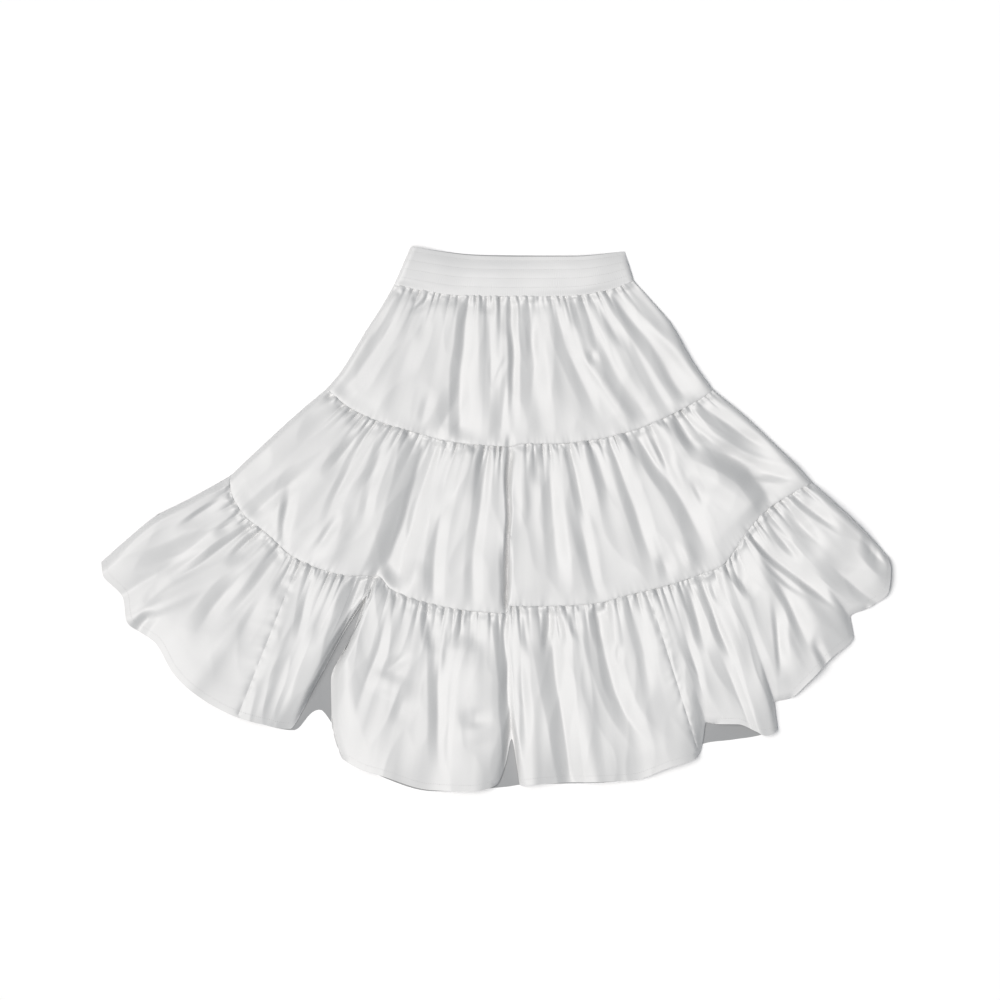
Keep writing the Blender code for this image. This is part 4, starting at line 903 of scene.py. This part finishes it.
def stitch_row(stitch, points, finish):
    """A row of stitches along a line of points on the cloth."""
    path = set_up(bpy.data.curves.new("row", "CURVE"), dimensions="3D", twist_mode="Z_UP")
    spline = path.splines.new("POLY")
    spline.points.add(len(points) - 1)
    for place, (x, y, z) in zip(spline.points, points):
        place.co = (x * MM, y * MM, (z + STITCH_LIFT) * MM, 1)
    line, row = new_object("row", path), new_object("row", stitch.data.copy())
    row.data.materials.append(finish)
    modify(
        row, "ARRAY", fit_type="FIT_CURVE", curve=line, use_relative_offset=False,
        use_constant_offset=True, constant_offset_displace=(STITCH_STEP * MM, 0, 0),
    )
    modify(row, "CURVE", object=line, deform_axis="POS_X")
    bpy.data.objects.remove(line)
    return row


def joined(rows, name):
    """The rows as one piece."""
    select_only(rows[0])
    for row in rows:
        row.select_set(True)
    if len(rows) > 1:
        bpy.ops.object.join()
    rows[0].name = name
    return rows[0]


def band_stitches(stitch, finish):
    """The rows of stitching that hold the elastic in the waistband."""
    share = np.linspace(*BAND_ROW_ENDS, BAND_ROW_POINTS)
    rows = [stitch_row(stitch, band_surface(share, np.full_like(share, v)), finish) for v in BAND_ROWS]
    return joined(rows, "waistband_stitching")


def hem_stitches(stitch, finish, side, start, end):
    """The hem's row of stitching on a panel of the bottom tier, broken where the hem folds under."""
    first, last = max(start, HEM_ROW_ENDS[0]), min(end, HEM_ROW_ENDS[1])
    gaps = [gap for gap in FOLDED_HEM if first < gap[0] < last or first < gap[1] < last]
    starts = [first] + [gap[1] + HEM_ROW_GAP for gap in gaps]
    stops = [gap[0] - HEM_ROW_GAP for gap in gaps] + [last]
    rows = []
    for start, stop in zip(starts, stops):
        if stop - start >= HEM_ROW_SHORTEST:
            share = np.linspace(start, stop, math.ceil((stop - start) * HEM_ROW_POINTS))
            v = 1 - HEM_ALLOWANCE / rib_length(TIER_3, share)
            points = front_surface(TIER_3, TIER_2_SEAM_HEIGHT, None, share, v)
            rows.append(stitch_row(stitch, points, finish))
    return joined(rows, f"hem_stitching_{side}")


# ---- finishes
THREAD_HEIGHT = 0.12  # of the weave's threads, as a share of the relief
MOST_NOISE = (0.3, 0.7)  # values between which most of a noise lies


def wire(tree, node, sockets):
    """Gives each of the node's sockets its value, or the output that feeds it."""
    for name, value in sockets.items():
        if isinstance(value, bpy.types.NodeSocket):
            tree.links.new(value, node.inputs[name])
        else:
            node.inputs[name].default_value = value
    return node.outputs


def shader_node(tree, kind, sockets={}, **settings):
    """Adds a shader node, wires it up and returns its outputs."""
    return wire(tree, set_up(tree.nodes.new("ShaderNode" + kind), **settings), sockets)


def weave_group():
    """Satin weave: fine floating threads, slubs and the soft crumple that handling leaves.

    Cloth is the place on it in metres. Height is in shares of the relief, and Shade from 0 to 1.
    """
    group = bpy.data.node_groups.new("satin_weave", "ShaderNodeTree")
    for name, way, kind, usual in (
        ("Cloth", "INPUT", "Vector", (0, 0, 0)), ("Crumple size", "INPUT", "Float", 70.0),
        ("Thread height", "INPUT", "Float", THREAD_HEIGHT), ("Height", "OUTPUT", "Float", 0.0),
        ("Shade", "OUTPUT", "Float", 0.0),
    ):
        socket = group.interface.new_socket(name=name, in_out=way, socket_type="NodeSocket" + kind)
        socket.default_value = usual
    given = group.nodes.new("NodeGroupInput").outputs
    cloth = given["Cloth"]
    stretched = shader_node(group, "Mapping", {"Vector": cloth, "Scale": (2600.0, 260.0, 1.0)})["Vector"]
    threads = shader_node(group, "TexNoise", {"Vector": stretched, "Scale": 1.0, "Detail": 2.0})
    crumple = shader_node(group, "TexNoise", {
        "Vector": cloth, "Scale": given["Crumple size"], "Detail": 3.0, "Roughness": 0.5, "Distortion": 0.4,
    })
    patches = shader_node(group, "TexNoise", {"Vector": cloth, "Scale": 18.0, "Detail": 3.0})
    low = shader_node(group, "Math", {0: threads["Fac"], 1: given["Thread height"]}, operation="MULTIPLY")
    total = shader_node(group, "Math", {0: low[0], 1: crumple["Fac"]}, operation="ADD")
    wire(group, group.nodes.new("NodeGroupOutput"), {"Height": total[0], "Shade": patches["Fac"]})
    return group


def new_finish(name, sockets):
    """A material, with these values on its shader's own sockets."""
    material = bpy.data.materials.new(name)
    material.use_nodes = True
    surface = material.node_tree.nodes["Principled BSDF"]
    wire(material.node_tree, surface, sockets)
    return material, material.node_tree, surface


def two_tones(tree, dark, light, factor):
    sockets = {"A": (*dark, 1), "B": (*light, 1), "Factor": factor}
    return shader_node(tree, "Mix", sockets, data_type="RGBA")["Result"]


def cloth_finish(name, weave, light, dark, rough, crumple, bump, gloss):
    """A woven finish: two close tones, uneven gloss, and the weave and crumple as relief."""
    material, tree, surface = new_finish(name, gloss)
    cloth = shader_node(tree, "UVMap", uv_map="cloth")["UV"]
    sockets = {"Cloth": cloth, "Crumple size": crumple, "Thread height": THREAD_HEIGHT}
    satin = shader_node(tree, "Group", sockets, node_tree=weave)
    dullness = shader_node(tree, "MapRange", {
        "Value": satin["Shade"], "From Min": MOST_NOISE[0], "From Max": MOST_NOISE[1],
        "To Min": rough[0], "To Max": rough[1],
    })
    relief = shader_node(tree, "Bump", {"Height": satin["Height"], "Distance": bump, "Strength": 1.0})
    wire(tree, surface, {
        "Base Color": two_tones(tree, dark, light, satin["Shade"]),
        "Roughness": dullness["Result"],
        "Normal": relief["Normal"],
    })
    return material


def satin_finishes():
    """The tiers' face; the waistband's, a brighter copy, in part whiter for the cloth doubled over its
    elastic and in part painted light for the light the band catches; and the wrong side of both, matte as
    the satin's back is and painted dark grey as shade.
    """
    weave = weave_group()
    gloss = {"IOR": 1.6, "Specular IOR Level": 0.85, "Sheen Weight": 0.1, "Sheen Roughness": 0.5}
    face = ((0.5, 0.56), 75.0, 0.0001, gloss)
    inside = ((0.8, 0.9), 60.0, 0.0002, {"Specular IOR Level": 0.25})
    return (
        cloth_finish("satin_face", weave, (0.66, 0.66, 0.656), (0.635, 0.635, 0.632), *face),
        # a brighter copy of the satin: whiter in part for the doubled cloth over the elastic, in part
        # painted light for the light the band catches
        cloth_finish("band_face_painted_brighter", weave, (0.686, 0.686, 0.682), (0.66, 0.66, 0.657), *face),
        # dark grey: painted shade, for the inside of the skirt seen in shadow; only the matte finish is the
        # satin's own
        cloth_finish("satin_wrong_side_painted_shade", weave, (0.35, 0.355, 0.36), (0.33, 0.335, 0.34), *inside),
    )


def thread_finish():
    """Twisted sewing thread, close in tone to the satin."""
    material, tree, surface = new_finish("sewing_thread", {"Roughness": 0.55})
    own = shader_node(tree, "UVMap", uv_map="UVMap")["UV"]
    turned = shader_node(tree, "Mapping", {"Vector": own, "Rotation": (0, 0, math.radians(35))})["Vector"]
    strands = shader_node(tree, "TexWave", {"Vector": turned, "Scale": 4.0, "Distortion": 1.5})["Fac"]
    relief = shader_node(tree, "Bump", {"Height": strands, "Distance": 0.00004})["Normal"]
    tone = two_tones(tree, (0.58, 0.58, 0.576), (0.68, 0.68, 0.676), strands)
    wire(tree, surface, {"Base Color": tone, "Normal": relief})
    return material


def floor_finish():
    sockets = {"Base Color": (0.97, 0.97, 0.97, 1), "Roughness": 0.9, "Specular IOR Level": 0.0}
    return new_finish("pale_floor", sockets)[0]


# ---- studio
CAMERA_HEIGHT = 5.0  # metres, as are the next three
FRAME_WIDTH = 1.4  # of floor that the picture takes in
LOOK_AT = (0.0056, 0.0273)
FLOOR = 12
SENSOR = 36  # mm


def studio():
    """A camera straight above, a pale floor, a soft light from over it and a dim even fill."""
    lens = SENSOR * CAMERA_HEIGHT / FRAME_WIDTH
    camera = set_up(bpy.data.cameras.new("camera"), sensor_width=SENSOR, lens=lens, clip_end=50)
    camera = set_up(new_object("camera", camera), location=(*LOOK_AT, CAMERA_HEIGHT))
    bpy.context.scene.camera = camera

    select_only(camera)
    bpy.ops.mesh.primitive_plane_add(size=FLOOR, location=(0, 0, 0))
    floor = bpy.context.object
    floor.name = "floor"
    floor.data.materials.append(floor_finish())

    key = bpy.data.lights.new("key", "SUN")
    set_up(key, energy=3.3, color=(1.0, 0.969, 0.945), angle=math.radians(52))
    new_object("key", key).rotation_euler = (math.radians(4), math.radians(-24), 0)

    world = bpy.data.worlds.new("studio")
    world.use_nodes = True
    fill = world.node_tree.nodes["Background"]
    wire(world.node_tree, fill, {"Color": (0.62, 0.81, 1.0, 1.0), "Strength": 0.14})
    bpy.context.scene.world = world
    bpy.context.scene.view_settings.view_transform = "Standard"


# ---- the skirt
BACK_BAND_RISE = 1.5  # how far the back of the band shows above its front, at the middle
BACK_BAND_RISE_ENDS = 0.2  # and at its ends


def lay(node, sheet, faces, stitches=()):
    """Puts a sheet in the place of its CAD node, with the stitching on it."""
    thicken(sheet, *faces)
    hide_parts(node)
    for piece in (sheet, *stitches):
        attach(piece, "root")


def build():
    satin, band_satin_painted_brighter, wrong_side_painted_shade = satin_finishes()
    thread, stitch = thread_finish(), one_stitch()
    # the wrong side, which faces up inside the skirt, is painted dark grey as shade
    faces, band_faces = (satin, wrong_side_painted_shade), (band_satin_painted_brighter, wrong_side_painted_shade)
    for node, tier, folds, flat in (
        ("tier_3_back", TIER_3, BACK_3_FOLDS, (1.36, 0.26)),
        ("tier_2_back", TIER_2, BACK_2_FOLDS, (0.84, 0.25)),
        ("tier_1_back", TIER_1, BACK_1_FOLDS, (0.50, 0.215)),
    ):
        lay(node, back_sheet(node, tier, folds), faces)
    rises = [BACK_BAND_RISE_ENDS + BACK_BAND_RISE * math.sin(math.pi * row.share) for row in WAIST_TOP]
    raised_top = [row._replace(y=row.y + rise) for row, rise in zip(WAIST_TOP, rises)]
    sheet = back_sheet("waistband_back", BAND, [], raised_top)
    lay("waistband_back", sheet, band_faces)
    sheet, rows = band_sheet("waistband_front"), [band_stitches(stitch, thread)]
    lay("waistband_front", sheet, band_faces, rows)
    for node, tier, above, below, flat in (
        ("tier_1_front", TIER_1, WAIST_SEAM_HEIGHT, TIER_1_SEAM_HEIGHT, (0.56, 0.22)),
        ("tier_2_front", TIER_2, TIER_1_SEAM_HEIGHT, TIER_2_SEAM_HEIGHT, (0.96, 0.25)),
    ):
        lay(node, front_sheet(node, tier, above, below), faces)
    for side, start, end, width in (
        ("left", 0.0, LEFT_PANEL_SEAM, 0.29),
        ("middle", LEFT_PANEL_SEAM, RIGHT_PANEL_SEAM, 0.80),
        ("right", RIGHT_PANEL_SEAM, 1.0, 0.40),
    ):
        node = f"tier_3_front_{side}"
        sheet = front_sheet(node, TIER_3, TIER_2_SEAM_HEIGHT, None, (start, end))
        rows = [hem_stitches(stitch, thread, side, start, end)]
        lay(node, sheet, faces, rows)
    bpy.data.objects.remove(stitch)


studio()
build()
